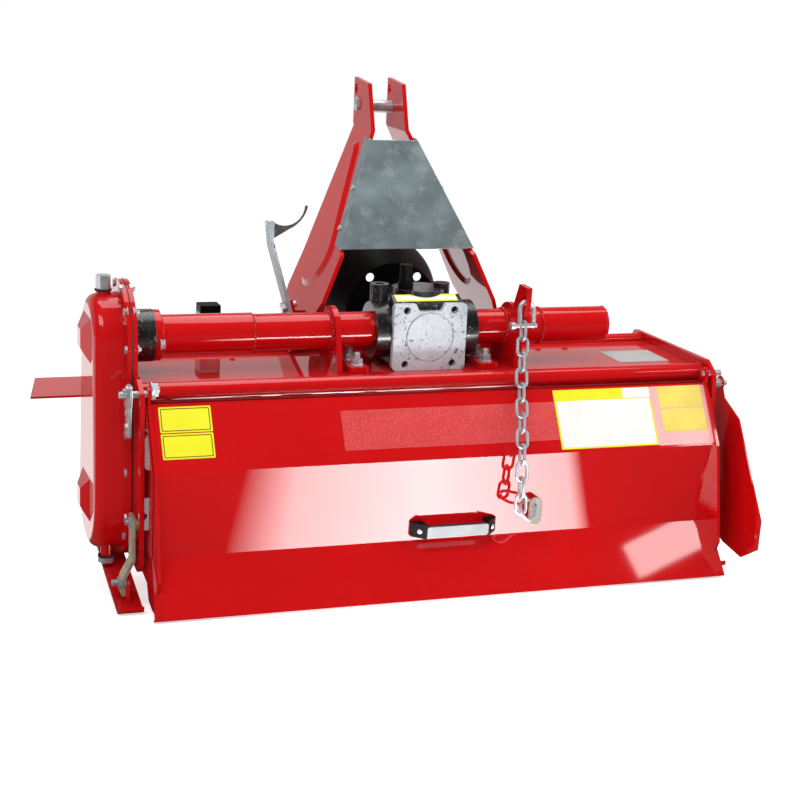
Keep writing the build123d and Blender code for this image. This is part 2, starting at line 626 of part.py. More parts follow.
for node, hand in (("skid_left", -1), ("skid_right", 1)):
    with BuildPart() as skid:
        with BuildSketch(side(hand * SKID_IN)):
            sheet_line(SKID_LINE, SKID_T)
        extrude(amount=hand * (SKID_OUT - SKID_IN))
        with BuildSketch(level(-60)):
            with Locations((hand * (SKID_IN + SKID_OUT) / 2, SKID_PLAN_Y)):
                RectangleRounded(SKID_OUT - SKID_IN, SKID_PLAN_LONG, 14)
        extrude(amount=200, mode=Mode.INTERSECT)
        with BuildSketch(side(hand * STRAP_LOW)):
            outline([(80, SKID_Z + 6), (118, SKID_Z + 12), (112, 34), (104, 40), (92, 40), (84, 32)])
        extrude(amount=-hand * 8)
        with BuildSketch(side(hand * SIDE_OUT)):
            outline([(385, 55), (425, 63), (438, 92), (432, 128), (410, 140), (388, 128)])
            with Locations((411, 118)):
                Circle(6, mode=Mode.SUBTRACT)
        extrude(amount=hand * 6)
    skid.part.label = node
    export_step(skid.part, f"parts/{node}.step")

# Straps that set the skids' depth: flat bars from the side plate's rear corner, kinked outwards to the sole's lug
STRAP_BOSS = (99, 132)
with BuildPart() as skid_straps:
    for hand in (-1, 1):
        with BuildSketch(rear(114)):
            path = [(STRAP_HIGH, 150), (STRAP_HIGH, 72), (STRAP_LOW, 40), (STRAP_LOW, 11)]
            sheet_line([(hand * x, z) for x, z in path], STRAP_T, Side.LEFT if hand > 0 else Side.RIGHT)
        extrude(amount=30)
        with BuildSketch(side(hand * SIDE_OUT)):
            with Locations(STRAP_BOSS):
                Circle(10)
        extrude(amount=hand * (STRAP_HIGH - SIDE_OUT))
skid_straps.part.label = "skid_straps"
export_step(skid_straps.part, "parts/skid_straps.step")

# ---------------------------------------------------------------- tailgate

HINGES = [(-1, 512.0, 572.0), (1, 519.0, 556.0)]  # hand, and the distances out of the bolt's two ends
with BuildPart() as hinge_bolts:
    for hand, start, reach in HINGES:
        with BuildSketch(side(hand * start)):
            with Locations((HINGE_Y, HINGE_Z)):
                Circle(HINGE_R)
        extrude(amount=hand * (reach - start))
    with BuildSketch(side(-512.0)):
        with Locations((HINGE_Y, HINGE_Z)):
            RegularPolygon(10, 6)
    extrude(amount=-7)
hinge_bolts.part.label = "hinge_bolts"
export_step(hinge_bolts.part, "parts/hinge_bolts.step")

# Zinc strap that hangs from the left bolt, outside the side plate
with BuildPart() as hinge_strap:
    with BuildSketch(side(-552.0)):
        outline([(84, 376), (116, 376), (128, 286), (98, 284)], 6)
        with Locations((HINGE_Y, HINGE_Z)):
            Circle(HINGE_R, mode=Mode.SUBTRACT)
    extrude(amount=-5)
hinge_strap.part.label = "hinge_strap"
export_step(hinge_strap.part, "parts/hinge_strap.step")

LIP_FLARE = 8.0  # the sheet widens by this on each side from the lower bend to the lip
with BuildPart() as tailgate_sheet:
    with BuildSketch(side(-GATE_HALF - LIP_FLARE)):
        sheet_line(GATE, GATE_T)
    extrude(amount=2 * (GATE_HALF + LIP_FLARE))
    with BuildSketch(rear(130)):
        half_plan = [(GATE_HALF, 360), (GATE_HALF, GATE[2][1]), (GATE_HALF + LIP_FLARE, GATE[4][1] - 10)]
        outline([*half_plan, *((-x, z) for x, z in reversed(half_plan))])
    extrude(amount=200, mode=Mode.INTERSECT)
tailgate_sheet.part.label = "tailgate_sheet"
export_step(tailgate_sheet.part, "parts/tailgate_sheet.step")

# End plates: their rear edge runs straight past the sheet's lower bend, then turns back to it
GATE_END_T = 6.0
GATE_END = [
    (88, 360), (93, 346), (26, 240), (-8, 65), (2.5, 43), (-22, 8), (-8, 2), (40, 1), (68, 7), (84, 33),
    (129, 38), (136, 70), (126, 300), (112, 360),
]
with BuildPart() as tailgate_ends:
    for hand in (-1, 1):
        with BuildSketch(side(hand * (GATE_HALF - GATE_END_T))):
            outline(GATE_END)
            with Locations((HINGE_Y, HINGE_Z)):
                Circle(12)
                Circle(HINGE_R + RUN_FIT, mode=Mode.SUBTRACT)
        extrude(amount=hand * GATE_END_T)
    with BuildSketch(side(-GATE_HALF)):
        sheet_line(GATE, GATE_T)
    extrude(amount=2 * GATE_HALF, mode=Mode.SUBTRACT)
tailgate_ends.part.label = "tailgate_ends"
export_step(tailgate_ends.part, "parts/tailgate_ends.step")

# Grip that stands off the middle panel on a wedge at each end
HANDLE_X, HANDLE_Z, HANDLE_HALF, HANDLE_H = 8.5, 115.7, 57.5, 20.0
HANDLE_FRONT, HANDLE_T = 6.5, 12.0  # rear face of the bar, and its thickness
BRACKET_OUT, BRACKET_H = 22.5, 26.0
with BuildPart() as tailgate_handle:
    with BuildSketch(rear(HANDLE_FRONT + HANDLE_T)):
        with Locations((HANDLE_X, HANDLE_Z)):
            RectangleRounded(2 * HANDLE_HALF, HANDLE_H, 4)
    extrude(amount=HANDLE_T)
tailgate_handle.part.label = "tailgate_handle"
export_step(tailgate_handle.part, "parts/tailgate_handle.step")

with BuildPart() as handle_brackets:
    with BuildSketch(level(HANDLE_Z - BRACKET_H / 2)):
        for hand in (-1, 1):
            wedge = [(0, HANDLE_FRONT + 1), (BRACKET_OUT, 31), (BRACKET_OUT, 40), (0, 40)]
            outline([(HANDLE_X + hand * (HANDLE_HALF + x), y) for x, y in wedge])
    extrude(amount=BRACKET_H)
    with BuildSketch(side(-GATE_HALF)):
        outline([*GATE[1:3], (60, GATE[2][1]), (60, GATE[1][1])])
    extrude(amount=2 * GATE_HALF, mode=Mode.SUBTRACT)
handle_brackets.part.label = "handle_brackets"
export_step(handle_brackets.part, "parts/handle_brackets.step")

# Lug for the chain: a round-topped plate that stands off the panel on a web
LUG_X, LUG_Y, LUG_Z, LUG_T, LUG_HALF = 160.0, 24.0, 138.0, 5.0, 12.0
with BuildPart() as chain_lug:
    with BuildSketch(rear(LUG_Y)):
        with Locations((LUG_X, LUG_Z)):
            SlotOverall(50, 2 * LUG_HALF, rotation=90)
        with Locations((LUG_X - 3, LUG_Z + 10)):
            Circle(5, mode=Mode.SUBTRACT)
    extrude(amount=LUG_T)
    with BuildSketch(side(LUG_X + LUG_HALF - LUG_T)):
        outline([(LUG_Y, 118), (60, 118), (60, 158), (LUG_Y, 158)])
    extrude(amount=LUG_T)
    with BuildSketch(side(-GATE_HALF)):
        outline([*GATE[1:3], (80, GATE[2][1]), (80, GATE[1][1])])
    extrude(amount=2 * GATE_HALF, mode=Mode.SUBTRACT)
chain_lug.part.label = "chain_lug"
export_step(chain_lug.part, "parts/chain_lug.step")

# ---------------------------------------------------------------- chain and shackle

WIRE_R, LINK_PITCH, LINK_HALF_W, LINK_GAP = 2.75, 29.5, 9.75, 0.4
SHACKLE_R, SHACKLE_HALF, SHACKLE_DROP, PIN_R = 4.0, 13.5, 46.0, 4.0
bow_top = PARKED * Location((CHAIN_X, SHACKLE_Y, SHACKLE_Z))
pin_mid = bow_top.position - Vector(0, 0, SHACKLE_DROP)  # hangs plumb


def stored(x, y, z):
    """Point given from the machine's middle plane in the parked attitude, y from the tailgate's upper bend."""
    return Vector(x - MIDDLE_X, y - MIDDLE_Y, z + LIFT)


def swept_round(path, radius):
    """Round bar along a path; call it inside a BuildPart."""
    with BuildSketch(Plane(origin=path @ 0, z_dir=path % 0)) as section:
        Circle(radius)
    add(sweep(section.sketch.face(), path=path, mode=Mode.PRIVATE))


with BuildPart() as shackle:
    bow = Plane(origin=pin_mid, x_dir=(1, 0, 0), z_dir=(0, -1, 0))
    top = SHACKLE_DROP - 2.5  # middle of the bow where it passes through the plate
    with BuildLine(bow) as run:
        Line((-SHACKLE_HALF, -4), (-SHACKLE_HALF, top - SHACKLE_HALF))
        ThreePointArc((-SHACKLE_HALF, top - SHACKLE_HALF), (0, top), (SHACKLE_HALF, top - SHACKLE_HALF))
        Line((SHACKLE_HALF, top - SHACKLE_HALF), (SHACKLE_HALF, -4))
    with BuildSketch(Plane(origin=run.line @ 0, z_dir=run.line % 0)):
        Circle(SHACKLE_R)
    sweep()
    with BuildSketch(Plane(origin=pin_mid - Vector(SHACKLE_HALF + 12, 0, 0), z_dir=(1, 0, 0))):
        Circle(PIN_R)
    extrude(amount=2 * SHACKLE_HALF + 18)
    with BuildSketch(Plane(origin=pin_mid - Vector(SHACKLE_HALF + 18, 0, 0), z_dir=(1, 0, 0))):
        Circle(7)
    extrude(amount=8)
shackle.part.label = "shackle"
export_step(shackle.part, "parts/shackle.step")

# Chain from the shackle's pin, behind the rear rail and the sheet's upper bend, to the lug
CHAIN_ROUTE = [pin_mid + Vector(-6.2, 0, PIN_R + 0.6), stored(151, 48, 377), stored(122, -27, 243), stored(119, -26, 120)]
joints, leg_no, at = [CHAIN_ROUTE[0]], 0, CHAIN_ROUTE[0]
while leg_no < len(CHAIN_ROUTE) - 1:
    along = CHAIN_ROUTE[leg_no + 1] - at
    if along.length < LINK_PITCH:
        leg_no += 1
        if leg_no < len(CHAIN_ROUTE) - 1:
            rest = CHAIN_ROUTE[leg_no + 1] - CHAIN_ROUTE[leg_no]
            at = at + (along + rest.normalized() * (LINK_PITCH - along.length)).normalized() * LINK_PITCH
            joints.append(at)
    else:
        at = at + along.normalized() * LINK_PITCH
        joints.append(at)
with BuildPart() as chain:
    half = LINK_PITCH / 2 + WIRE_R + LINK_GAP / 2 - LINK_HALF_W  # half of a link's straight side
    for number, (start, stop) in enumerate(zip(joints, joints[1:])):
        down = (stop - start).normalized()
        across = Vector(0, 1, 0) if number % 2 == 0 else Vector(1, 0, 0)
        plane = Plane(origin=(start + stop) / 2, x_dir=down, z_dir=down.cross(across))
        with BuildLine(plane) as run:
            Line((-half, LINK_HALF_W), (half, LINK_HALF_W))
            ThreePointArc((half, LINK_HALF_W), (half + LINK_HALF_W, 0), (half, -LINK_HALF_W))
            Line((half, -LINK_HALF_W), (-half, -LINK_HALF_W))
            ThreePointArc((-half, -LINK_HALF_W), (-half - LINK_HALF_W, 0), (-half, LINK_HALF_W))
        with BuildSketch(Plane(origin=run.line @ 0, z_dir=run.line % 0)):
            Circle(WIRE_R)
        sweep()
chain.part.label = "chain"
export_step(chain.part, "parts/chain.step")

# ---------------------------------------------------------------- side deflector

WING_X, WING_T = 562.0, 3.0
WING_Y, WING_Z, WING_PIN_R = 108.0, 338.0, 5.0
WING = [(108, 352), (97, 331), (88, 314), (29, 288), (-79, 125), (-77, 69), (-24, 37), (45, 45), (130, 90), (150, 200), (120, 338)]
with BuildPart() as side_deflector:
    with BuildSketch(side(WING_X)):
        outline(WING)
        with Locations((WING_Y, WING_Z)):
            Circle(13)
            Circle(WING_PIN_R + RUN_FIT, mode=Mode.SUBTRACT)
    extrude(amount=WING_T)
side_deflector.part.label = "side_deflector"
export_step(side_deflector.part, "parts/side_deflector.step")

with BuildPart() as deflector_pin:
    with BuildSketch(side(SIDE_OUT)):
        with Locations((WING_Y, WING_Z)):
            Circle(WING_PIN_R)
    extrude(amount=WING_X + 13 - SIDE_OUT)
    with BuildSketch(side(SIDE_OUT)):
        with Locations((WING_Y, WING_Z)):
            Circle(9)
    extrude(amount=WING_X - 0.5 - SIDE_OUT)
deflector_pin.part.label = "deflector_pin"
export_step(deflector_pin.part, "parts/deflector_pin.step")

# ---------------------------------------------------------------- rotor

ROTOR_END, STUB_R, TINE_T, TINES_EACH = 486.0, 25.0, 7.0, 6
FLANGE_XS = [-440.0, -264.0, -88.0, 88.0, 264.0, 440.0]
with BuildPart() as rotor:
    with BuildSketch(side(-ROTOR_END)):
        with Locations((ROTOR_Y, ROTOR_Z)):
            Circle(ROTOR_TUBE_R)
    extrude(amount=2 * ROTOR_END)
    with BuildSketch(side(-SIDE_OUT - 1.5)):
        with Locations((ROTOR_Y, ROTOR_Z)):
            Circle(STUB_R)
    extrude(amount=2 * SIDE_OUT + 16)
    for number, x in enumerate(FLANGE_XS):
        with BuildSketch(side(x - 4)):
            with Locations((ROTOR_Y, ROTOR_Z)):
                Circle(78)
        extrude(amount=8)
        for step in range(TINES_EACH):
            hand = 1 if step % 2 == 0 else -1
            turn = 360 / TINES_EACH * step + 22 * number
            spot = PARKED * Location((x + hand * 4, ROTOR_Y, ROTOR_Z)) * Plane.YZ.location * Location((0, 0, 0), (0, 0, turn))
            with BuildSketch(Plane(spot)):
                outline([(48, -24), (48, 24), (110, 32), (172, 16), (176, -4), (166, -34), (110, -14)])
            extrude(amount=hand * TINE_T)
            with BuildSketch(Plane(spot)):
                with BuildLine() as edge:
                    CenterArc((0, 0), TINE_R, -12, 24)
                    CenterArc((0, 0), TINE_R - 8, -12, 24)
                    Line((TINE_R - 8) * Vector(cos(radians(-12)), sin(radians(-12))), TINE_R * Vector(cos(radians(-12)), sin(radians(-12))))
                    Line((TINE_R - 8) * Vector(cos(radians(12)), sin(radians(12))), TINE_R * Vector(cos(radians(12)), sin(radians(12))))
                make_face()
            extrude(amount=hand * 52)
rotor.part.label = "rotor"
export_step(rotor.part, "parts/rotor.step")

with BuildPart() as rotor_bearing:
    with BuildSketch(side(SIDE_OUT)):
        with Locations((ROTOR_Y, ROTOR_Z)):
            Circle(60)
    extrude(amount=8)
    with BuildSketch(side(SIDE_OUT + 8)):
        with Locations((ROTOR_Y, ROTOR_Z)):
            Circle(42)
    extrude(amount=18)
    with BuildSketch(side(SIDE_OUT)):
        with Locations((ROTOR_Y, ROTOR_Z)):
            Circle(STUB_R + RUN_FIT)
    extrude(amount=17, mode=Mode.SUBTRACT)
rotor_bearing.part.label = "rotor_bearing"
export_step(rotor_bearing.part, "parts/rotor_bearing.step")
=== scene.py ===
"""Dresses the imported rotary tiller: paint, castings, fasteners, welds and blank plates, in metres.

Pieces are modelled in the machine's own frame, in which the deck is level (X right seen from behind,
Y forward to the tractor, Z up), and are then turned into the attitude in which the machine parks.
"""

import json
from math import atan2, cos, pi, radians, sin, tan

import bmesh
import bpy
from mathutils import Matrix, Vector


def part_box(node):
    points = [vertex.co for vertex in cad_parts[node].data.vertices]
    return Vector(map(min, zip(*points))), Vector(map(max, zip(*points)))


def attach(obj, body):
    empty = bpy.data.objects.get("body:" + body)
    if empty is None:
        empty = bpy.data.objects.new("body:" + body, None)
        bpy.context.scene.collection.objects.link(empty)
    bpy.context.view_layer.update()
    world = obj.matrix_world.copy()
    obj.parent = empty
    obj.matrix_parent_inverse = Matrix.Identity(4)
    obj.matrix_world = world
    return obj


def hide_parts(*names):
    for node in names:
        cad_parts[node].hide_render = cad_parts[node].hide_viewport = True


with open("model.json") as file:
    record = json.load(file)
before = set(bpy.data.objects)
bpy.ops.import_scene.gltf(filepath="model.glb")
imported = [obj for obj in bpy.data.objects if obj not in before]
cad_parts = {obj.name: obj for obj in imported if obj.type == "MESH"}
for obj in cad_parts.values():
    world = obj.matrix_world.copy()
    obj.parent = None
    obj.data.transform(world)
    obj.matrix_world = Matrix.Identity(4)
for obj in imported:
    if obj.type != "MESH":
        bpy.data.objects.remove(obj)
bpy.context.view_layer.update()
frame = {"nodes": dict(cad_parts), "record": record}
NODES = frame["nodes"]
SLOTS = {part["node"]: part["material_slot"] for part in frame["record"]["subparts"]}

# ---------------------------------------------------------------- machine frame, from the shaft's mount

MM = 0.001
LEFT, RIGHT, FORWARD, UP, DOWN = (-1, 0, 0), (1, 0, 0), (0, 1, 0), (0, 0, 1), (0, 0, -1)
CENTRE_X, SHAFT_Z, SHAFT_END_Y = 6.0, 428.0, 470.0
TUBE, ROTOR = (247.0, SHAFT_Z), (252.0, 155.0)  # Y and Z of the cross tube's and the rotor's axis
SHAFT = next(mount for mount in frame["record"]["mounts"] if mount["name"] == "input_shaft")
LEAN = atan2(SHAFT["axis"][2], SHAFT["axis"][1])
TURN = Matrix.Rotation(LEAN, 4, "X")
PARKED = Matrix.Translation(Vector(SHAFT["pos_m"]) - TURN @ (Vector((CENTRE_X, SHAFT_END_Y, SHAFT_Z)) * MM)) @ TURN

# ---------------------------------------------------------------- shader nodes


def math(tree, kind, first, second=0.0, clamp=False):
    """Math node on sockets or numbers."""
    node = tree.nodes.new("ShaderNodeMath")
    node.operation = kind
    node.use_clamp = clamp
    for slot, value in zip(node.inputs, (first, second)):
        if isinstance(value, (int, float)):
            slot.default_value = value
        else:
            tree.links.new(value, slot)
    return node.outputs[0]


def remap(tree, value, low, high, to_low=0.0, to_high=1.0):
    """Clamped linear map of a socket."""
    node = tree.nodes.new("ShaderNodeMapRange")
    node.clamp = True
    for label, number in (("From Min", low), ("From Max", high), ("To Min", to_low), ("To Max", to_high)):
        node.inputs[label].default_value = number
    tree.links.new(value, node.inputs["Value"])
    return node.outputs["Result"]


# ---------------------------------------------------------------- camera and light

EYE, EYE_TILT, EYE_HEADING = (-0.9973, -2.94456, 0.696), radians(83.2434), radians(-19.255)
FOCAL_LENGTH, SENSOR_WIDTH, FAR_CLIP = 76.066, 36.0, 60.0

WHITE = (1.0, 1.0, 1.0, 1.0)
FILL_LEVEL, DARK_LEVEL, WALL_LEVEL = 0.62, 0.04, 0.5
WALL_FADE, CEILING_FADE = (-0.15, 0.35), (0.42, 0.75)  # where the back wall comes in, and where the ceiling ends it

FLOOR_SIZE, FLOOR_GLOW = 60.0, 0.58
# Painted reflection: in gloss alone the floor glows, though it is no lamp, as a bright strip in front whose middle is
# brightest and a white sheet behind, and elsewhere its colour in gloss is far darker than to the eye.
FLOOR_COLOUR, FLOOR_IN_GLOSS = (0.82, 0.82, 0.82, 1.0), (0.10, 0.10, 0.10, 1.0)
STRIP_PIVOT, STRIP_SLANT = -0.4, 0.37
# Each edge of the strip: its place in metres and how sharply it fades.
STRIP_LEFT, STRIP_RIGHT, STRIP_FRONT, STRIP_BACK = (-0.29, 9.0), (0.44, 30.0), (-0.86, 18.0), (-0.085, 40.0)
STRIP_LEVEL, CORE_LEVEL, CORE_MIDDLE, CORE_FADE = 13.0, 8.0, 0.1, 3.2
SHEET_FROM, SHEET_LEVEL = 0.35, 1.3


def add_camera():
    """Camera at standing height behind the machine's left corner."""
    data = bpy.data.cameras.new("camera")
    data.lens = FOCAL_LENGTH
    data.sensor_width = SENSOR_WIDTH
    data.clip_end = FAR_CLIP
    camera = bpy.data.objects.new("camera", data)
    bpy.context.scene.collection.objects.link(camera)
    camera.location = EYE
    camera.rotation_euler = (EYE_TILT, 0.0, EYE_HEADING)
    bpy.context.scene.camera = camera


def add_softbox(name, place, aim, size, watts):
    """Large flat lamp that faces the aimed point."""
    data = bpy.data.lights.new(name, "AREA")
    data.shape = "RECTANGLE"
    data.size, data.size_y = size
    data.energy = watts
    lamp = bpy.data.objects.new(name, data)
    bpy.context.scene.collection.objects.link(lamp)
    lamp.location = place
    lamp.rotation_euler = (Vector(aim) - Vector(place)).to_track_quat("-Z", "Y").to_euler()


def mix(tree, factor, first, second):
    """Mix of two shaders by a socket."""
    node = tree.nodes.new("ShaderNodeMixShader")
    for slot, value in zip(node.inputs, (factor, first, second)):
        tree.links.new(value, slot)
    return node.outputs[0]


def add_world():
    """White for the eye, an even fill for matt surfaces, and for gloss a bright back wall under a dark ceiling."""
    world = bpy.data.worlds.new("studio")
    bpy.context.scene.world = world
    world.use_nodes = True
    tree = world.node_tree
    nodes, links = tree.nodes, tree.links
    nodes.clear()
    out, path = nodes.new("ShaderNodeOutputWorld"), nodes.new("ShaderNodeLightPath")
    place, split = nodes.new("ShaderNodeTexCoord"), nodes.new("ShaderNodeSeparateXYZ")
    links.new(place.outputs["Generated"], split.inputs[0])
    wall = remap(tree, split.outputs["Y"], *WALL_FADE, 0.0, WALL_LEVEL)
    ceiling = remap(tree, split.outputs["Z"], *CEILING_FADE, 1.0, 0.0)
    fill, shine, white = (nodes.new("ShaderNodeBackground") for _ in range(3))
    for sky in (fill, shine, white):
        sky.inputs["Color"].default_value = WHITE
    fill.inputs["Strength"].default_value = FILL_LEVEL
    links.new(math(tree, "ADD", math(tree, "MULTIPLY", wall, ceiling), DARK_LEVEL), shine.inputs["Strength"])
    lit = mix(tree, path.outputs["Is Glossy Ray"], fill.outputs[0], shine.outputs[0])
    seen = math(tree, "MAXIMUM", path.outputs["Is Camera Ray"], path.outputs["Is Transmission Ray"])
    links.new(mix(tree, seen, lit, white.outputs[0]), out.inputs["Surface"])


def add_floor():
    """Pale floor that keeps the machine's shadow; in gloss alone it glows as painted reflection, a white sheet behind
    and a bright strip in front.
    """
    bpy.ops.mesh.primitive_plane_add(size=FLOOR_SIZE, location=(0.0, 0.0, 0.0))
    floor = bpy.context.object
    floor.name = "floor"
    material = bpy.data.materials.new("floor")
    material.use_nodes = True
    tree = material.node_tree
    nodes, links = tree.nodes, tree.links
    nodes.clear()
    out, total, glow = (nodes.new("ShaderNode" + kind) for kind in ("OutputMaterial", "AddShader", "Emission"))
    matt, dull = nodes.new("ShaderNodeBsdfDiffuse"), nodes.new("ShaderNodeBsdfDiffuse")
    for shader, colour in ((matt, FLOOR_COLOUR), (dull, FLOOR_IN_GLOSS), (glow, WHITE)):
        shader.inputs["Color"].default_value = colour
    path, place, split = (nodes.new("ShaderNode" + kind) for kind in ("LightPath", "TexCoord", "SeparateXYZ"))
    links.new(place.outputs["Object"], split.inputs[0])
    across, along = split.outputs["X"], split.outputs["Y"]
    slant = math(tree, "ADD", across, math(tree, "MULTIPLY", math(tree, "SUBTRACT", along, STRIP_PIVOT), STRIP_SLANT))
    left, front = (math(tree, "MULTIPLY", math(tree, "SUBTRACT", value, at), sharp, clamp=True)
                   for value, (at, sharp) in ((slant, STRIP_LEFT), (along, STRIP_FRONT)))
    right, back = (math(tree, "MULTIPLY", math(tree, "SUBTRACT", at, value), sharp, clamp=True)
                   for value, (at, sharp) in ((slant, STRIP_RIGHT), (along, STRIP_BACK)))
    aside = math(tree, "ABSOLUTE", math(tree, "MULTIPLY", math(tree, "SUBTRACT", slant, CORE_MIDDLE), CORE_FADE))
    core = math(tree, "SUBTRACT", 1.0, aside, clamp=True)
    inside = math(tree, "MULTIPLY", math(tree, "MULTIPLY", left, right), math(tree, "MULTIPLY", front, back))
    strip = math(tree, "MULTIPLY", inside, math(tree, "ADD", STRIP_LEVEL, math(tree, "MULTIPLY", core, CORE_LEVEL)))
    sheet = math(tree, "MULTIPLY", math(tree, "GREATER_THAN", along, SHEET_FROM), SHEET_LEVEL)
    # Painted reflection: this glow is seen by glossy rays only.
    shine = math(tree, "MULTIPLY", path.outputs["Is Glossy Ray"], math(tree, "ADD", strip, sheet))
    pale = math(tree, "MULTIPLY", path.outputs["Is Camera Ray"], FLOOR_GLOW)
    links.new(math(tree, "ADD", pale, shine), glow.inputs["Strength"])
    ground = mix(tree, path.outputs["Is Glossy Ray"], matt.outputs[0], dull.outputs[0])
    links.new(ground, total.inputs[0])
    links.new(glow.outputs[0], total.inputs[1])
    links.new(total.outputs[0], out.inputs["Surface"])
    floor.data.materials.append(material)


# ---------------------------------------------------------------- finishes


def new_group(name, inputs, outputs):
    """Empty node group with named number or colour sockets."""
    group = bpy.data.node_groups.new(name, "ShaderNodeTree")
    for label, kind, value in inputs:
        socket = group.interface.new_socket(name=label, in_out="INPUT", socket_type=kind)
        socket.default_value = value
    for label, kind in outputs:
        group.interface.new_socket(name=label, in_out="OUTPUT", socket_type=kind)
    return group, group.nodes.new("NodeGroupInput"), group.nodes.new("NodeGroupOutput")


def noise(group, scale, detail, rough):
    """Noise over the object's own coordinates; returns its 0 to 1 output."""
    place = group.nodes.new("ShaderNodeTexCoord")
    texture = group.nodes.new("ShaderNodeTexNoise")
    texture.inputs["Scale"].default_value = scale
    texture.inputs["Detail"].default_value = detail
    texture.inputs["Roughness"].default_value = rough
    group.links.new(place.outputs["Object"], texture.inputs["Vector"])
    return texture.outputs["Fac"]


def blend_colour(group, factor, first, second):
    """Mix of two colours given as sockets or tuples."""
    node = group.nodes.new("ShaderNodeMix")
    node.data_type = "RGBA"
    for slot, value in ((node.inputs[0], factor), (node.inputs[6], first), (node.inputs[7], second)):
        if isinstance(value, (int, float)):
            slot.default_value = value
        elif isinstance(value, tuple):
            slot.default_value = (*value, 1.0)
        else:
            group.links.new(value, slot)
    return node.outputs[2]


def edge_wear_group():
    """Mask of the edges where handling thins the finish, broken up by grain."""
    group, given, out = new_group(
        "edge_wear",
        [("Radius", "NodeSocketFloat", 0.002), ("Amount", "NodeSocketFloat", 0.5)],
        [("Mask", "NodeSocketFloat"), ("Normal", "NodeSocketVector")],
    )
    bevel = group.nodes.new("ShaderNodeBevel")
    bevel.samples = 4
    group.links.new(given.outputs["Radius"], bevel.inputs["Radius"])
    flat = group.nodes.new("ShaderNodeNewGeometry")
    dot = group.nodes.new("ShaderNodeVectorMath")
    dot.operation = "DOT_PRODUCT"
    group.links.new(bevel.outputs["Normal"], dot.inputs[0])
    group.links.new(flat.outputs["Normal"], dot.inputs[1])
    steep = remap(group, dot.outputs["Value"], 0.75, 0.99, 1.0, 0.0)
    broken = remap(group, noise(group, 160.0, 4.0, 0.6), 0.42, 0.62)
    worn = math(group, "MULTIPLY", steep, broken)
    group.links.new(math(group, "MULTIPLY", worn, given.outputs["Amount"]), out.inputs["Mask"])
    group.links.new(bevel.outputs["Normal"], out.inputs["Normal"])
    return group


def grain_group():
    """Fine ripple or grain as a height, with a slow change of tone."""
    group, given, out = new_group(
        "grain",
        [("Fine Scale", "NodeSocketFloat", 900.0), ("Slow Scale", "NodeSocketFloat", 9.0)],
        [("Height", "NodeSocketFloat"), ("Tone", "NodeSocketFloat")],
    )
    fine, slow = group.nodes.new("ShaderNodeTexNoise"), group.nodes.new("ShaderNodeTexNoise")
    place = group.nodes.new("ShaderNodeTexCoord")
    for texture, label, detail in ((fine, "Fine Scale", 2.0), (slow, "Slow Scale", 4.0)):
        texture.inputs["Detail"].default_value = detail
        group.links.new(place.outputs["Object"], texture.inputs["Vector"])
        group.links.new(given.outputs[label], texture.inputs["Scale"])
    group.links.new(fine.outputs["Fac"], out.inputs["Height"])
    group.links.new(slow.outputs["Fac"], out.inputs["Tone"])
    return group


def dust_group():
    """Thin dust that gathers on faces that look up."""
    group, given, out = new_group("dust", [("Amount", "NodeSocketFloat", 0.2)], [("Mask", "NodeSocketFloat")])
    facing = group.nodes.new("ShaderNodeNewGeometry")
    split = group.nodes.new("ShaderNodeSeparateXYZ")
    group.links.new(facing.outputs["Normal"], split.inputs[0])
    up = remap(group, split.outputs["Z"], 0.3, 1.0)
    patchy = remap(group, noise(group, 22.0, 6.0, 0.65), 0.35, 0.75)
    settled = math(group, "MULTIPLY", up, patchy)
    group.links.new(math(group, "MULTIPLY", settled, given.outputs["Amount"]), out.inputs["Mask"])
    return group


EDGE_WEAR, GRAIN, DUST = edge_wear_group(), grain_group(), dust_group()


def place_group(tree, group, **values):
    """Group node in a material with its own values."""
    node = tree.nodes.new("ShaderNodeGroup")
    node.node_tree = group
    for label, value in values.items():
        node.inputs[label.replace("_", " ")].default_value = value
    return node


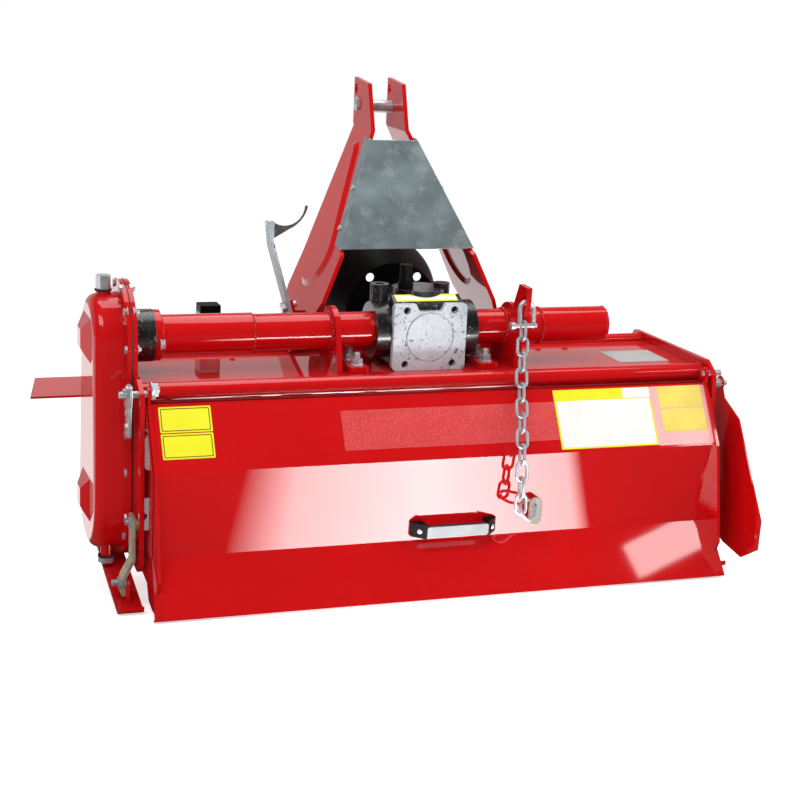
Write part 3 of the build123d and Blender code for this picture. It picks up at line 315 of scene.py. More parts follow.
def finish(name, colour, worn, rough, metal=0.0, coat=0.0, coat_rough=0.06, specular=0.5, fine=900.0, slow=9.0,
           bump=0.15, tone=0.12, wear=0.4, dust=0.1, edge=0.0012, spots=None, patch=None,
           dust_colour=(0.55, 0.5, 0.45)):
    """Painted or plated finish: tone changes slowly, edges wear to a second colour, dust lies on top faces; a patch is
    painted shade.
    """
    material = bpy.data.materials.new(name)
    material.use_nodes = True
    tree = material.node_tree
    tree.nodes.clear()
    out = tree.nodes.new("ShaderNodeOutputMaterial")
    shader = tree.nodes.new("ShaderNodeBsdfPrincipled")
    tree.links.new(shader.outputs[0], out.inputs["Surface"])
    shader.inputs["Metallic"].default_value = metal
    shader.inputs["Coat Weight"].default_value = coat
    shader.inputs["Coat Roughness"].default_value = coat_rough
    shader.inputs["Specular IOR Level"].default_value = specular
    worn_edge = place_group(tree, EDGE_WEAR, Radius=edge, Amount=wear)
    grain = place_group(tree, GRAIN, Fine_Scale=fine, Slow_Scale=slow)
    dusty = place_group(tree, DUST, Amount=dust)
    darker = tuple(c * (1.0 - tone) for c in colour)
    lighter = tuple(min(1.0, c * (1.0 + tone)) for c in colour)
    base = blend_colour(tree, remap(tree, grain.outputs["Tone"], 0.3, 0.7), darker, lighter)
    if spots:
        spot_colour, scale, low, high = spots
        base = blend_colour(tree, remap(tree, noise(tree, scale, 5.0, 0.7), low, high), base, spot_colour)
    # A patch is painted shade: the part past an X and above a Z takes a darker colour, as the holder's hook in shade.
    if patch:
        shade_colour, (from_x, from_z) = patch
        spot, split = tree.nodes.new("ShaderNodeTexCoord"), tree.nodes.new("ShaderNodeSeparateXYZ")
        tree.links.new(spot.outputs["Object"], split.inputs[0])
        past_x = math(tree, "GREATER_THAN", split.outputs["X"], from_x)
        past_z = math(tree, "GREATER_THAN", split.outputs["Z"], from_z)
        base = blend_colour(tree, math(tree, "MULTIPLY", past_x, past_z), base, shade_colour)
    base = blend_colour(tree, worn_edge.outputs["Mask"], base, worn)
    base = blend_colour(tree, dusty.outputs["Mask"], base, dust_colour)
    tree.links.new(base, shader.inputs["Base Color"])
    uneven = remap(tree, grain.outputs["Tone"], 0.3, 0.7, max(0.0, rough - 0.05), rough + 0.06)
    dulled = math(tree, "MULTIPLY", dusty.outputs["Mask"], 0.5)
    tree.links.new(math(tree, "ADD", uneven, dulled), shader.inputs["Roughness"])
    relief = tree.nodes.new("ShaderNodeBump")
    relief.inputs["Strength"].default_value = bump
    relief.inputs["Distance"].default_value = 0.0004
    tree.links.new(grain.outputs["Height"], relief.inputs["Height"])
    tree.links.new(worn_edge.outputs["Normal"], relief.inputs["Normal"])
    tree.links.new(relief.outputs["Normal"], shader.inputs["Normal"])
    return material


def make_finishes():
    """One material for each finish of the record, plus those of the plates and labels."""
    red = (0.535, 0.0015, 0.0030)
    return {
        "red_paint": finish("red_paint", red, (0.34, 0.003, 0.006), 0.55, coat=1.0, coat_rough=0.04, specular=0.05,
                            fine=800.0, slow=5.0, bump=0.22, tone=0.05, wear=0.25, dust=0.02, edge=0.0022),
        "black_cast": finish("black_cast", (0.006, 0.006, 0.007), (0.30, 0.30, 0.31), 0.34, coat=0.7, coat_rough=0.12,
                             specular=0.4, fine=420.0, slow=30.0, bump=1.0, tone=0.3, wear=0.8, dust=0.03, edge=0.002,
                             spots=((0.36, 0.37, 0.38), 190.0, 0.61, 0.66)),
        "machined_cast": finish("machined_cast", (0.56, 0.61, 0.66), (0.82, 0.84, 0.86), 0.42, metal=0.15, fine=700.0,
                                slow=28.0, bump=0.5, tone=0.12, wear=0.6, dust=0.02,
                                spots=((0.03, 0.03, 0.035), 150.0, 0.58, 0.64)),
        "galvanised": finish("galvanised", (0.245, 0.31, 0.325), (0.80, 0.84, 0.86), 0.40, metal=0.6, fine=260.0,
                             slow=16.0, bump=0.12, tone=0.22, wear=0.9, dust=0.02, edge=0.0025,
                             spots=((0.40, 0.45, 0.46), 34.0, 0.52, 0.72)),
        "zinc": finish("zinc", (0.60, 0.62, 0.65), (0.86, 0.86, 0.88), 0.34, metal=0.7, fine=600.0, slow=60.0, bump=0.2,
                       tone=0.15, wear=0.5, dust=0.05),
        "yellow_zinc": finish("yellow_zinc", (0.42, 0.37, 0.25), (0.70, 0.66, 0.55), 0.46, metal=0.45, fine=600.0,
                              slow=70.0, bump=0.2, tone=0.3, wear=0.5, dust=0.05,
                              spots=((0.60, 0.58, 0.52), 80.0, 0.52, 0.66)),
        "black_plastic": finish("black_plastic", (0.003, 0.003, 0.003), (0.03, 0.03, 0.03), 0.50, specular=0.10,
                                fine=900.0, slow=20.0, bump=0.15, tone=0.2, wear=0.3, dust=0.02),
        "grip_plastic": finish("grip_plastic", (0.022, 0.026, 0.030), (0.01, 0.01, 0.01), 0.36, specular=0.55,
                               fine=500.0, slow=60.0, bump=0.15, tone=0.3, wear=0.9, dust=0.02, edge=0.0015),
        "lug_zinc": finish("lug_zinc", (0.42, 0.42, 0.38), (0.60, 0.60, 0.55), 0.60, metal=0.0, specular=0.1,
                           fine=500.0, slow=60.0, bump=0.15, tone=0.15, wear=0.4, dust=0.02,
                           spots=((0.70, 0.69, 0.64), 80.0, 0.52, 0.66)),
        # The hem's dull dark red is painted shade: the shade under the rear rail, put into its colour.
        "hem_shade_red": finish("hem_shade_red", (0.16, 0.001, 0.002), (0.20, 0.01, 0.01), 0.6, specular=0.05),
        "chain_zinc": finish("chain_zinc", (0.36, 0.38, 0.41), (0.66, 0.67, 0.70), 0.42, metal=0.35, fine=500.0,
                             slow=40.0, bump=0.1, tone=0.15, wear=0.5, dust=0.02),
        # The near black patch on the holder's hook is painted shade, the hook's shaded underside put into its colour.
        "bar_zinc_shaded_hook": finish("bar_zinc_shaded_hook", (0.40, 0.47, 0.50), (0.72, 0.78, 0.80), 0.50, metal=0.25, fine=300.0, slow=24.0,
                           bump=0.12, tone=0.16, wear=0.6, dust=0.02, patch=((0.055, 0.040, 0.045), (-0.196, 0.61))),
        "gasket": finish("gasket", (0.010, 0.010, 0.010), (0.04, 0.04, 0.04), 0.7, fine=700.0, slow=40.0, bump=0.4,
                         tone=0.2, wear=0.2, dust=0.15),
        "yellow_label": finish("yellow_label", (0.80, 0.76, 0.004), (0.80, 0.76, 0.05), 0.34, fine=300.0, slow=14.0,
                               bump=0.04, tone=0.04, wear=0.2, dust=0.03),
        "faded_label": finish("faded_label", (0.80, 0.62, 0.10), (0.82, 0.55, 0.30), 0.38, fine=300.0, slow=30.0,
                              bump=0.05, tone=0.08, wear=0.2, dust=0.03),
        "white_label": finish("white_label", (0.82, 0.80, 0.77), (0.75, 0.70, 0.66), 0.36, fine=300.0, slow=14.0,
                              bump=0.04, tone=0.04, wear=0.2, dust=0.03),
        "label_ink": finish("label_ink", (0.020, 0.020, 0.012), (0.10, 0.09, 0.03), 0.42, fine=300.0, slow=40.0,
                            bump=0.05, tone=0.2, wear=0.2, dust=0.03),
        "clear_film": finish("clear_film", (0.60, 0.024, 0.028), (0.70, 0.16, 0.16), 0.42, coat=0.3, coat_rough=0.25,
                             fine=240.0, slow=30.0, bump=0.25, tone=0.05, wear=0.2, dust=0.02,
                             spots=((0.72, 0.13, 0.12), 420.0, 0.50, 0.68)),
        "pale_film": finish("pale_film", (0.86, 0.42, 0.40), (0.86, 0.50, 0.46), 0.40, coat=0.3, coat_rough=0.2,
                            fine=240.0, slow=16.0, bump=0.10, tone=0.06, wear=0.2, dust=0.03),
        "plate_metal": finish("plate_metal", (0.62, 0.62, 0.60), (0.75, 0.75, 0.74), 0.34, metal=0.5, fine=500.0,
                              slow=30.0, bump=0.08, tone=0.08, wear=0.3, dust=0.05,
                              spots=((0.22, 0.23, 0.23), 60.0, 0.62, 0.70)),
        "bare_steel": finish("bare_steel", (0.42, 0.41, 0.40), (0.6, 0.6, 0.6), 0.32, metal=0.95, fine=500.0, slow=50.0,
                             bump=0.2, tone=0.2, wear=0.4, dust=0.05),
    }


# ---------------------------------------------------------------- modelling helpers, in the machine's frame


def edit(piece):
    """Opens a mesh for editing with nothing selected in it."""
    bpy.ops.object.select_all(action="DESELECT")
    bpy.context.view_layer.objects.active = piece
    piece.select_set(True)
    bpy.ops.object.mode_set(mode="EDIT")
    bpy.ops.mesh.select_mode(type="FACE")
    bpy.ops.mesh.select_all(action="DESELECT")
    return bmesh.from_edit_mesh(piece.data)


def pick(piece, mesh, wanted):
    """Selects the faces that the test accepts."""
    for face in mesh.faces:
        face.select_set(wanted(face))
    mesh.select_flush_mode()
    bmesh.update_edit_mesh(piece.data)


def close(piece, smooth=40.0):
    """Leaves edit mode with the normals outwards and the sharp edges kept."""
    bpy.ops.mesh.select_all(action="SELECT")
    bpy.ops.mesh.remove_doubles(threshold=1e-6)
    bpy.ops.mesh.normals_make_consistent(inside=False)
    bpy.ops.object.mode_set(mode="OBJECT")
    bpy.ops.object.shade_smooth_by_angle(angle=radians(smooth))
    return piece


def turned(profile, steps=24):
    """Solid turned about Z from a profile of radius and height in millimetres, its ends on the axis."""
    mesh = bpy.data.meshes.new("turned")
    mesh.from_pydata([(r * MM, 0.0, z * MM) for r, z in profile], [(i, i + 1) for i in range(len(profile) - 1)], [])
    piece = bpy.data.objects.new("turned", mesh)
    bpy.context.scene.collection.objects.link(piece)
    edit(piece)
    bpy.ops.mesh.select_mode(type="VERT")
    bpy.ops.mesh.select_all(action="SELECT")
    bpy.ops.mesh.spin(steps=steps, angle=2 * pi, center=(0.0, 0.0, 0.0), axis=(0.0, 0.0, 1.0))
    return close(piece, 35.0)


def hexagon(across, low, high, dish=0.315):
    """Hexagon head or nut between two heights, its top dished, in millimetres.

    The mesh is centred and only its object stands at the height, so a copy whose axis is not upright comes out
    half its height too deep and as much too high.
    """
    bpy.ops.mesh.primitive_cylinder_add(vertices=6, radius=across / 2 / cos(pi / 6) * MM, depth=(high - low) * MM,
                                        location=(0.0, 0.0, (low + high) / 2 * MM))
    piece = bpy.context.object
    pick(piece, edit(piece), lambda face: face.normal.z > 0.9)
    bpy.ops.mesh.inset(thickness=0.06 * across * MM)
    bpy.ops.mesh.inset(thickness=0.10 * across * MM)
    bpy.ops.transform.translate(value=(0.0, 0.0, -dish * MM))
    return close(piece, 30.0)


def joined(name, parts):
    """One piece from several."""
    bpy.ops.object.select_all(action="DESELECT")
    for part in parts:
        part.select_set(True)
    bpy.context.view_layer.objects.active = parts[0]
    if len(parts) > 1:
        bpy.ops.object.join()
    parts[0].name = parts[0].data.name = name
    return parts[0]


def aimed(place, axis, roll=0.0):
    """Matrix that stands a template's foot at a place, in millimetres, with its Z along the axis."""
    turn = Vector(axis).normalized().to_track_quat("Z", "Y").to_matrix().to_4x4()
    return Matrix.Translation(Vector(place) * MM) @ turn @ Matrix.Rotation(radians(roll), 4, "Z")


def settle(piece, name, body, finish_name):
    """Names a piece, turns it into the parked attitude, gives it its finish and hangs it on its body."""
    piece.name = piece.data.name = name
    piece.data.transform(PARKED @ piece.matrix_world)
    piece.matrix_world = Matrix.Identity(4)
    piece.data.materials.clear()
    piece.data.materials.append(FINISH[finish_name])
    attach(piece, body)
    return piece


def repeated(name, template, places, body, finish_name):
    """Copies of a template at every place, joined into one piece."""
    copies = []
    for place in places:
        copy = template.copy()
        copy.data = template.data.copy()
        bpy.context.scene.collection.objects.link(copy)
        copy.data.transform(place)
        copies.append(copy)
    return settle(joined(name, copies), name, body, finish_name)


def bolt_template(across, head, washer_r=0.0, washer_t=0.0, stud_r=0.0, stud=0.0):
    """Hexagon with a washer under it and, for a nut, the end of its stud above it."""
    parts = [hexagon(across, washer_t, washer_t + head)]
    if washer_r:
        rim = [(washer_r, 0), (washer_r, washer_t * 0.8), (washer_r - 0.4, washer_t)]
        parts.append(turned([(0, 0), *rim, (0, washer_t)], 28))
    if stud:
        base = washer_t + head
        rings = [(0, base - 1)]
        rows = max(2, int(stud / 1.25))
        for row in range(rows):
            z = base + stud * row / rows
            rings += [(stud_r, z), (stud_r * 0.88, z + stud / rows / 2)]
        rings += [(stud_r * 0.8, base + stud), (0, base + stud)]
        parts.append(turned(rings, 16))
    return joined("template", parts)


def bead(name, path, body, size, pitch=3.6):
    """Weld seam along a path in millimetres: a row of flattened overlapping drops."""
    bpy.ops.mesh.primitive_ico_sphere_add(subdivisions=2, radius=size * MM)
    drop = bpy.context.object
    bpy.ops.object.shade_smooth_by_angle(angle=radians(60.0))
    places, index = [], 0
    for start, stop in zip(path, path[1:]):
        run = Vector(stop) - Vector(start)
        count = max(1, round(run.length / pitch))
        turn = run.normalized().to_track_quat("Z", "Y").to_matrix().to_4x4()
        for step in range(count):
            at = Vector(start) + run * (step / count)
            swell = 1.0 + 0.12 * sin(index * 2.3) + 0.08 * sin(index * 5.1)
            places.append(Matrix.Translation(at * MM) @ turn @ Matrix.Diagonal((swell, swell, 0.62, 1.0)))
            index += 1
    piece = repeated(name, drop, places, body, "red_paint")
    bpy.data.objects.remove(drop)
    return piece


def ring(x, y, z, radius, steps=40):
    """Closed path round the X axis in millimetres."""
    return [(x, y + radius * cos(2 * pi * i / steps), z + radius * sin(2 * pi * i / steps)) for i in range(steps + 1)]


def stood(u, v, n, middle):
    """Matrix that lays X, Y and Z along three directions about a place in metres."""
    return Matrix(((u.x, v.x, n.x, middle.x), (u.y, v.y, n.y, middle.y), (u.z, v.z, n.z, middle.z), (0, 0, 0, 1)))


def blank(size, radius, segments):
    """Flat sheet with rounded corners, in millimetres, open for editing with all its faces selected."""
    bpy.ops.mesh.primitive_plane_add(size=1.0)
    piece = bpy.context.object
    edit(piece)
    bpy.ops.mesh.select_all(action="SELECT")
    bpy.ops.transform.resize(value=(size[0] * MM, size[1] * MM, 1.0))
    bpy.ops.mesh.bevel(offset=radius * MM, segments=segments, affect="VERTICES")
    bpy.ops.mesh.select_mode(type="FACE")
    bpy.ops.mesh.select_all(action="SELECT")
    return piece


def laid(piece, origin, across, up, thickness):
    """Gives a blank its thickness and lays it on a plane: its middle and its two directions."""
    bpy.ops.mesh.extrude_region_move(TRANSFORM_OT_translate={"value": (0.0, 0.0, thickness * MM)})
    close(piece)
    u, v = Vector(across).normalized(), Vector(up).normalized()
    piece.data.transform(stood(u, v, u.cross(v), Vector(origin) * MM))
    return piece


def plate(name, origin, across, up, size, thickness, finish_name, body, radius):
    """Thin plate with rounded corners."""
    piece = blank(size, radius, 4)
    return settle(laid(piece, origin, across, up, thickness), name, body, finish_name)


def printed_frame(name, origin, across, up, size, width, height, finish_name, body):
    """Thin printed frame on a plate: its outline less its inside."""
    piece = blank(size, 2.0, 3)
    bpy.ops.mesh.inset(thickness=width * MM)
    bpy.ops.mesh.delete(type="FACE")
    bpy.ops.mesh.select_all(action="SELECT")
    return settle(laid(piece, origin, across, up, height), name, body, finish_name)


# ---------------------------------------------------------------- fasteners

CASE_LOW, CASE_HIGH = (252.0, 143.0), TUBE  # middles of the gear case's round ends, Y and Z
CASE_X, FLANGE_OUTER_X, FLANGE_INNER_X = -574.5, -550.0, -532.0
CASE_BOLT_HEIGHTS = (512.0, 480.0, 419.0, 325.0, 271.0, 204.0, 123.0, 85.0)
FLANGES, FLANGE_PITCH, TINES, TINE_HOLE_R, TINE_HOLE_SIDE = 6, 176.0, 6, 62.0, 13.0


def rim_place(z, hand, low_r=99.0, high_r=90.0):
    """Point on the bolt line of the gear case's flange at a height; hand -1 is the rear side."""
    if z > CASE_HIGH[1]:
        return CASE_HIGH[0] + hand * max(0.0, high_r**2 - (z - CASE_HIGH[1]) ** 2) ** 0.5, z
    if z < CASE_LOW[1]:
        return CASE_LOW[0] + hand * max(0.0, low_r**2 - (z - CASE_LOW[1]) ** 2) ** 0.5, z
    share = (z - CASE_LOW[1]) / (CASE_HIGH[1] - CASE_LOW[1])
    return CASE_LOW[0] + (CASE_HIGH[0] - CASE_LOW[0]) * share + hand * (low_r + (high_r - low_r) * share), z


def fastened(name, template, places, body="frame"):
    """Plated copies of a fastener at every place."""
    return repeated(name, template, places, body, "zinc")


def discard(*templates):
    """Removes templates once their copies are made."""
    for template in templates:
        bpy.data.objects.remove(template)


def add_case_bolts():
    """Bolts round the gear case's flange, their nuts inside the hood, and the rings of its caps."""
    bolt = bolt_template(13.0, 5.6, 9.0, 1.5)
    nut = bolt_template(13.0, 6.4, 9.0, 1.5, 4.0, 4.0)
    spots = [rim_place(z, hand) for hand in (-1, 1) for z in CASE_BOLT_HEIGHTS]
    fastened("case_bolts", bolt, [aimed((FLANGE_OUTER_X, *spot), LEFT, 17.0 * i) for i, spot in enumerate(spots)])
    fastened("case_nuts", nut, [aimed((FLANGE_INNER_X, *spot), RIGHT, 23.0 * i) for i, spot in enumerate(spots)])
    collar = turned([(0, -1.2), (14.6, -1.2), (15.0, 0), (14.4, 1.8), (0, 1.8)], 32)
    caps = [aimed((CASE_X, 247.0, 510.0), UP), aimed((CASE_X, 208.0, 43.0), DOWN)]
    repeated("cap_seals", collar, caps, "frame", "gasket")
    discard(bolt, nut, collar)


def add_hood_fasteners():
    """Nuts and bolts of the gearbox's feet, the tube's flange, the straps, the hinges and the saddles, then
    those of the shaft's shield and of the rotor's bearing."""
    m12 = bolt_template(19.0, 10.0, 12.5, 2.4, 6.0, 11.0)
    m10 = bolt_template(16.0, 8.0, 10.0, 2.0, 5.0, 5.0)
    head = bolt_template(16.0, 6.4, 10.5, 2.0)
    small = bolt_template(12.0, 5.2, 8.0, 1.5)
    big = bolt_template(22.0, 9.0, 14.5, 2.4, 6.0, 4.0)
    feet = [(x, y, 374.0) for x in (-129.0, 119.0) for y in (197.0, 240.0)]
    fastened("gearbox_nuts", m12, [aimed(foot, UP, 11.0 * i) for i, foot in enumerate(feet)])
    for name, template, spots in (  # each spot is a place, a direction and a roll in degrees
        ("tube_flange_bolts", head, [((-478.0, 206.0, 415.0), RIGHT, 20.0), ((-478.0, 288.0, 441.0), RIGHT, 20.0)]),
        ("strap_nut_left", m12, [((-568.0, 96.0, 25.0), LEFT, 12.0)]),
        ("strap_nut_right", head, [((568.0, 96.0, 25.0), RIGHT, 40.0)]),
        ("strap_top_bolts", m10, [((-552.0, 99.0, 132.0), LEFT, 25.0), ((552.0, 99.0, 132.0), RIGHT, 5.0)]),
        ("hinge_inner_nut", big, [((-513.0, 100.0, 360.0), RIGHT, 14.0)]),
        ("hinge_nuts", m10, [((-557.0, 100.0, 360.0), LEFT, 10.0)]),
        ("hinge_strap_bolts", small, [((-557.0, 110.0, 322.0), LEFT, 9.0), ((-557.0, 113.0, 298.0), LEFT, 33.0)]),
        ("saddle_bolts", small, [((-158.0, 205.0, 376.0), RIGHT, 9.0), ((-168.0, 205.0, 376.0), LEFT, 9.0),
                                 ((190.0, 282.0, 376.0), RIGHT, 9.0)]),
    ):
        fastened(name, template, [aimed(*spot) for spot in spots])
    reach = 40.0
    fastened("shield_bolts", small, [aimed((CENTRE_X + x, 406.0, SHAFT_Z + z), FORWARD, 15.0 * x)
                                     for x, z in ((-reach, 0.0), (reach, 0.0), (0.0, -reach), (0.0, reach))])
    circle = 51.0
    fastened("rotor_bearing_bolts", small, [
        aimed((548.0, ROTOR[0] + circle * cos(a), ROTOR[1] + circle * sin(a)), RIGHT, 30.0 * a)
        for a in (radians(45 + 90 * i) for i in range(4))])
    discard(m12, m10, head, small, big)


def add_hitch_fasteners():
    """Nuts with washers on the top bolt, and the bolts of the guard on the bent legs."""
    nut = bolt_template(24.0, 8.0, 15.0, 2.0, 8.0, 3.0)
    small = bolt_template(10.0, 4.6, 8.0, 1.4)
    half, top = 38.0, (549.0, 804.0)
    fastened("top_bolt_nuts", nut, [aimed((CENTRE_X - half, *top), LEFT, 10.0),
                                    aimed((CENTRE_X + half, *top), RIGHT, 24.0)])
    slope, kink_x, kink_z, leg_thickness, guard_thickness = radians(24.0), 30.0, 765.0, 8.0, 3.0
    spots = []
    for hand in (-1, 1):
        for y, z in ((404.0, 661.0), (375.0, 590.0)):
            reach = kink_x + (kink_z - z) * tan(slope) + (leg_thickness + guard_thickness) / cos(slope)
            spots.append(aimed((CENTRE_X + hand * reach, y, z), (hand * cos(slope), 0.0, sin(slope)), 20.0))
    fastened("guard_bolts", small, spots)
    discard(nut, small)


def add_rotor_bolts():
    """Two bolts through each tine, with their nuts on the far face of the flange."""
    head = bolt_template(17.0, 7.0)
    nut = bolt_template(17.0, 8.0, 0.0, 0.0, 5.0, 3.0)
    heads, nuts = [], []
    for number in range(FLANGES):
        x = FLANGE_PITCH * (number - (FLANGES - 1) / 2)
        for step in range(TINES):
            hand = 1 if step % 2 == 0 else -1
            turn = radians(60.0 * step + 22.0 * number)
            for side in (-TINE_HOLE_SIDE, TINE_HOLE_SIDE):
                y = ROTOR[0] + TINE_HOLE_R * cos(turn) - side * sin(turn)
                z = ROTOR[1] + TINE_HOLE_R * sin(turn) + side * cos(turn)
                heads.append(aimed((x + hand * 11.0, y, z), (hand, 0, 0), 31.0 * step))
                nuts.append(aimed((x - hand * 4.0, y, z), (-hand, 0, 0), 17.0 * step))
    fastened("tine_bolts", head, heads, "rotor")
    fastened("tine_nuts", nut, nuts, "rotor")
    discard(head, nut)


def add_tailgate_fasteners():
    """Screws through the handle's sloped brackets."""
    screw = turned([(0, 0), (4.6, 0), (4.6, 0.8), (3.4, 2.4), (0, 3.0)], 20)
    spots = [aimed((x, 17.0, 115.7), (hand * 0.722, -0.692, 0.0)) for hand, x in ((-1, -60.0), (1, 77.0))]
    fastened("handle_screws", screw, spots, "tailgate")
    discard(screw)


# ---------------------------------------------------------------- welds


def add_welds():
    """Seams round the tube, the saddles and the chain's plate, along the tailgate's ends, round the rails'
    ends and down the lower hitch plates."""
    for name, x, radius in (("weld_flange", -477.0, 35.0), ("weld_sleeve", -313.0, 33.0),
                            ("weld_saddle_outer", -169.0, 33.5), ("weld_saddle_inner", -157.0, 33.5),
                            ("weld_plate_outer", 169.0, 32.5), ("weld_plate_inner", 191.0, 32.5),
                            ("weld_right_sleeve", 241.0, 32.5)):
        bead(name, ring(x, *TUBE, radius, 28), "frame", 2.8 if "sleeve" in name else 3.6)
    bead("weld_tube_end", ring(374.0, *TUBE, 31.0, 28), "frame", 3.0)
    for name, hand in (("weld_gate_left", -1), ("weld_gate_right", 1)):
        bead(name, [(hand * 527.5, y, z) for y, z in ((97.0, 341.5), (33.0, 240.0), (37.0, 93.0))], "tailgate", 3.0)
    for name, x in (("weld_rail_left", -530.0), ("weld_rail_right", 530.0)):
        bead(name, ring(x, 134.0, 354.0, 17.0, 16), "frame", 2.6)
        bead(name + "_front", ring(x, 384.0, 362.0, 13.0, 14), "frame", 2.6)
    for side, hand in (("left", -1), ("right", 1)):
        for x in (-25.0, 25.0):
            place = CENTRE_X + hand * 341.5 + x
            bead(f"weld_clevis_{side}_{'outer' if x * hand > 0 else 'inner'}",
                 [(place, 440.0, 235.0), (place, 402.0, 300.0)], "frame", 3.2)


# ---------------------------------------------------------------- blank plates and labels

PANEL_UP, PANEL_TOP, PANEL_RUN = (0.0, 0.5337, 0.8457), (99.0, 343.0), 65.0 / 103.0  # upper panel of the tailgate


def on_panel(x0, x1, z0, z1):
    """Middle and size of a field on the tailgate's upper panel between two sides and two heights."""
    z = (z0 + z1) / 2
    middle = ((x0 + x1) / 2, PANEL_TOP[0] - (PANEL_TOP[1] - z) * PANEL_RUN, z)
    return middle, (x1 - x0, (z1 - z0) / PANEL_UP[2])


def panel_label(name, sides, heights, finish_name, thickness, radius=2.0):
    """Label on the tailgate's upper panel."""
    middle, size = on_panel(*sides, *heights)
    return plate(name, middle, RIGHT, PANEL_UP, size, thickness, finish_name, "tailgate", radius)


def add_labels():
    """Blank labels and plates, with their coloured panels and printed frames and nothing written on them."""
    for side, (x0, x1), rows, colour in (
        ("left", (-508.0, -419.0), ((299.0, 337.5), (260.0, 297.5)), "yellow_label"),
        ("right", (422.0, 512.0), ((303.5, 338.5), (265.0, 301.5)), "faded_label"),
    ):
        for row, (z0, z1) in zip(("upper", "lower"), rows):
            panel_label(f"label_{side}_{row}", (x0, x1), (z0, z1), colour, 0.5)
            if side == "left":
                middle, size = on_panel(x0 + 3, x1 - 3, z0 + 2.5, z1 - 2.5)
                printed_frame(f"label_{side}_{row}_frame", middle, RIGHT, PANEL_UP, size, 1.3, 0.7, "label_ink",
                              "tailgate")
    panel_label("label_middle_film", (-192.0, 211.5), (260.5, 321.0), "clear_film", 0.25, 1.0)
    panel_label("label_right_film", (404.0, 522.0), (243.0, 339.0), "pale_film", 0.25, 6.0)
    panel_label("label_safety_base", (212.0, 406.0), (244.5, 339.0), "yellow_label", 0.4, 1.0)
    panel_label("label_safety_field", (215.5, 402.5), (247.0, 321.0), "white_label", 0.5, 1.0)
    panel_label("label_safety_corner", (350.0, 405.0), (322.5, 338.0), "white_label", 0.5, 1.0)
    plate("deck_plate", (447.0, 241.0, 362.0), RIGHT, FORWARD, (104.0, 92.0), 0.8, "plate_metal", "frame", 3.0)
    corners = ((-62.0, 203.0), (72.0, 203.0), (72.0, 226.0), (-62.0, 226.0))
    foot, tops = 480.0, (485.0, 485.0, 496.0, 496.0)
    wedge = [(x, y, foot) for x, y in corners] + [(x, y, top) for (x, y), top in zip(corners, tops)]
    pad = bpy.data.meshes.new("label_seat")
    pad.from_pydata([tuple(c * MM for c in point) for point in wedge], [],
                    [(3, 2, 1, 0), (4, 5, 6, 7), (0, 1, 5, 4), (1, 2, 6, 5), (2, 3, 7, 6), (3, 0, 4, 7)])
    seat = bpy.data.objects.new("label_seat", pad)
    bpy.context.scene.collection.objects.link(seat)
    edit(seat)
    bpy.ops.mesh.select_all(action="SELECT")
    bpy.ops.mesh.select_mode(type="EDGE")
    bpy.ops.mesh.bevel(offset=3.0 * MM, segments=3)
    close(seat)
    settle(seat, "gearbox_label_seat", "frame", "black_cast")
    middle, up = (4.0, 214.5, 490.6), (0.0, 23.0, 11.0)
    plate("gearbox_label", middle, RIGHT, up, (118.0, 21.0), 0.5, "yellow_label", "frame", 1.0)
    plate("gearbox_label_field", middle, RIGHT, up, (114.0, 12.0), 0.7, "white_label", "frame", 0.8)


# ---------------------------------------------------------------- shaft, chain ring and hem


def add_shaft():
    """Input shaft with six splines on a plain neck, in place of the plain one."""
    splines, radius, root, length = 6, 17.4, 15.0, 66.0
    bpy.ops.mesh.primitive_cylinder_add(vertices=72, radius=radius * MM, depth=length * MM)
    shaft = bpy.context.object
    shaft.data.transform(Matrix.Translation((0.0, 0.0, -length / 2 * MM)))

    def in_groove(face):
        middle = face.calc_center_median()
        return abs(face.normal.z) < 0.1 and (atan2(middle.y, middle.x) / (2 * pi) * splines) % 1.0 < 0.5

    pick(shaft, edit(shaft), in_groove)
    bpy.ops.mesh.inset(thickness=0.15 * MM, use_even_offset=True)
    mesh = bmesh.from_edit_mesh(shaft.data)
    for vertex in {v for face in mesh.faces if face.select for v in face.verts}:
        vertex.co.x *= root / radius
        vertex.co.y *= root / radius
    bmesh.update_edit_mesh(shaft.data)
    close(shaft, 30.0)
    neck = turned([(0, -206), (18, -206), (18, -length), (14.5, -length), (0, -length)], 40)
    centre = turned([(0, -1), (13.0, -1), (13.0, 0.0), (4, 0.0), (1.0, -0.6), (0, -0.8)], 32)
    piece = joined("splined_shaft", [shaft, neck, centre])
    piece.data.transform(aimed((CENTRE_X, SHAFT_END_Y, SHAFT_Z), FORWARD))
    settle(piece, "splined_shaft", "input", "bare_steel")
    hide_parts("input_shaft")


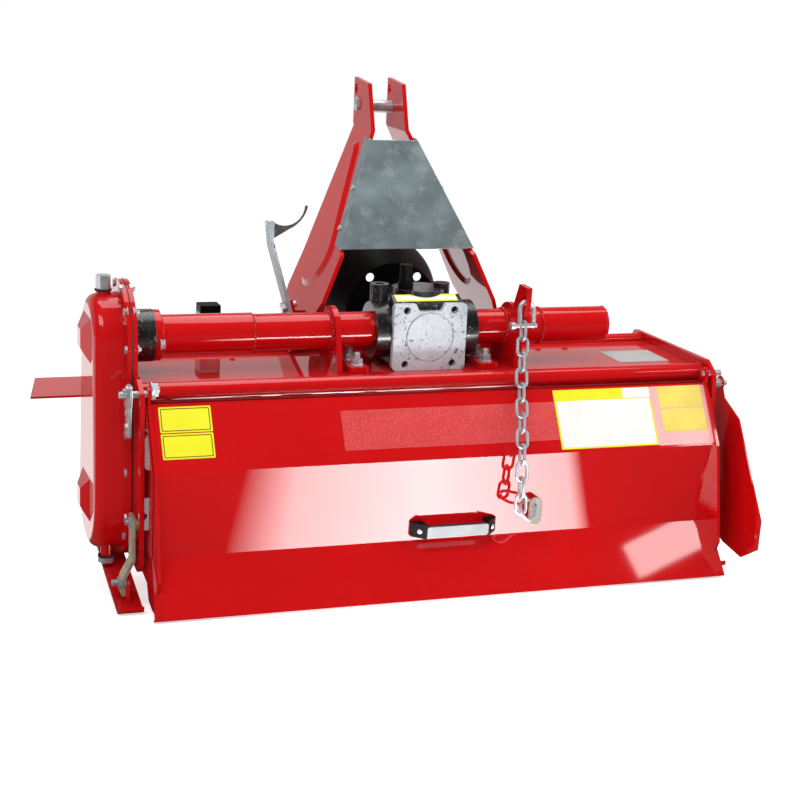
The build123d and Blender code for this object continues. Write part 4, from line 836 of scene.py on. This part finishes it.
def add_chain_ring():
    """Oval ring that joins the last link to the lug: a round hoop drawn out, then stretched between the two."""
    bend, straight = 17.0, 8.0
    bpy.ops.mesh.primitive_torus_add(major_radius=bend * MM, minor_radius=2.75 * MM, major_segments=48,
                                     minor_segments=14)
    hoop = bpy.context.object
    for vertex in edit(hoop).verts:
        vertex.co.x += straight * MM * (1.0 if vertex.co.x > 0 else -1.0)
    bmesh.update_edit_mesh(hoop.data)
    close(hoop, 60.0)
    hole = PARKED @ (Vector((157.0, 24.0, 148.0)) * MM)
    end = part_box("chain")[0] + Vector((0.012, 0.004, 0.004))
    along = hole - end
    facing = Vector((-0.33, -0.937, 0.12))
    facing = (facing - along * (facing.dot(along) / along.length_squared)).normalized()
    for vertex in hoop.data.vertices:
        vertex.co.x *= along.length / 2 / ((bend + straight) * MM)
    u = along.normalized()
    hoop.data.transform(PARKED.inverted() @ stood(u, facing.cross(u), facing, (hole + end) / 2))
    settle(hoop, "chain_ring", "tailgate", "chain_zinc")


def add_gate_hem():
    """Rolled hem along the top edge of the tailgate's sheet, in a dull dark red that is painted shade under the rear
    rail.
    """
    half = 522
    hem = turned([(0, -half), (1.4, -half), (2.0, 1 - half), (2.0, half - 1), (1.4, half), (0, half)], 16)
    hem.data.transform(aimed((0.0, 100.2, 344.6), RIGHT))
    settle(hem, "gate_hem", "tailgate", "hem_shade_red")


add_camera()
add_world()
for name, place, aim, size, watts in (
    ("key", (-1.6, -2.4, 3.0), (0.0, 0.0, 0.3), (2.4, 1.6), 54.0),
    ("top", (0.4, 0.3, 3.2), (0.0, 0.0, 0.3), (2.6, 2.0), 45.0),
    ("right", (3.0, -1.4, 1.5), (0.2, 0.0, 0.4), (1.4, 2.0), 34.0),
    ("glint", (1.65, -1.83, 1.5), (0.5, -0.2, 0.06), (0.32, 0.12), 1.3),
):
    add_softbox(name, place, aim, size, watts)
add_floor()
FINISH = make_finishes()

OWN_FINISH = {"holder_arm": "bar_zinc_shaded_hook", "chain_lug": "lug_zinc", "chain": "chain_zinc",
              "tailgate_handle": "grip_plastic", "shaft_shield": "black_plastic"}
for node, piece in NODES.items():
    piece.data.materials.clear()
    piece.data.materials.append(FINISH[OWN_FINISH.get(node, SLOTS[node])])

add_case_bolts()
add_hood_fasteners()
add_hitch_fasteners()
add_rotor_bolts()
add_tailgate_fasteners()
add_welds()
add_labels()
add_shaft()
add_chain_ring()
add_gate_hem()

bpy.ops.object.select_all(action="DESELECT")

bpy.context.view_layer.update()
view = bpy.context.scene.view_settings
view.view_transform = "Standard"
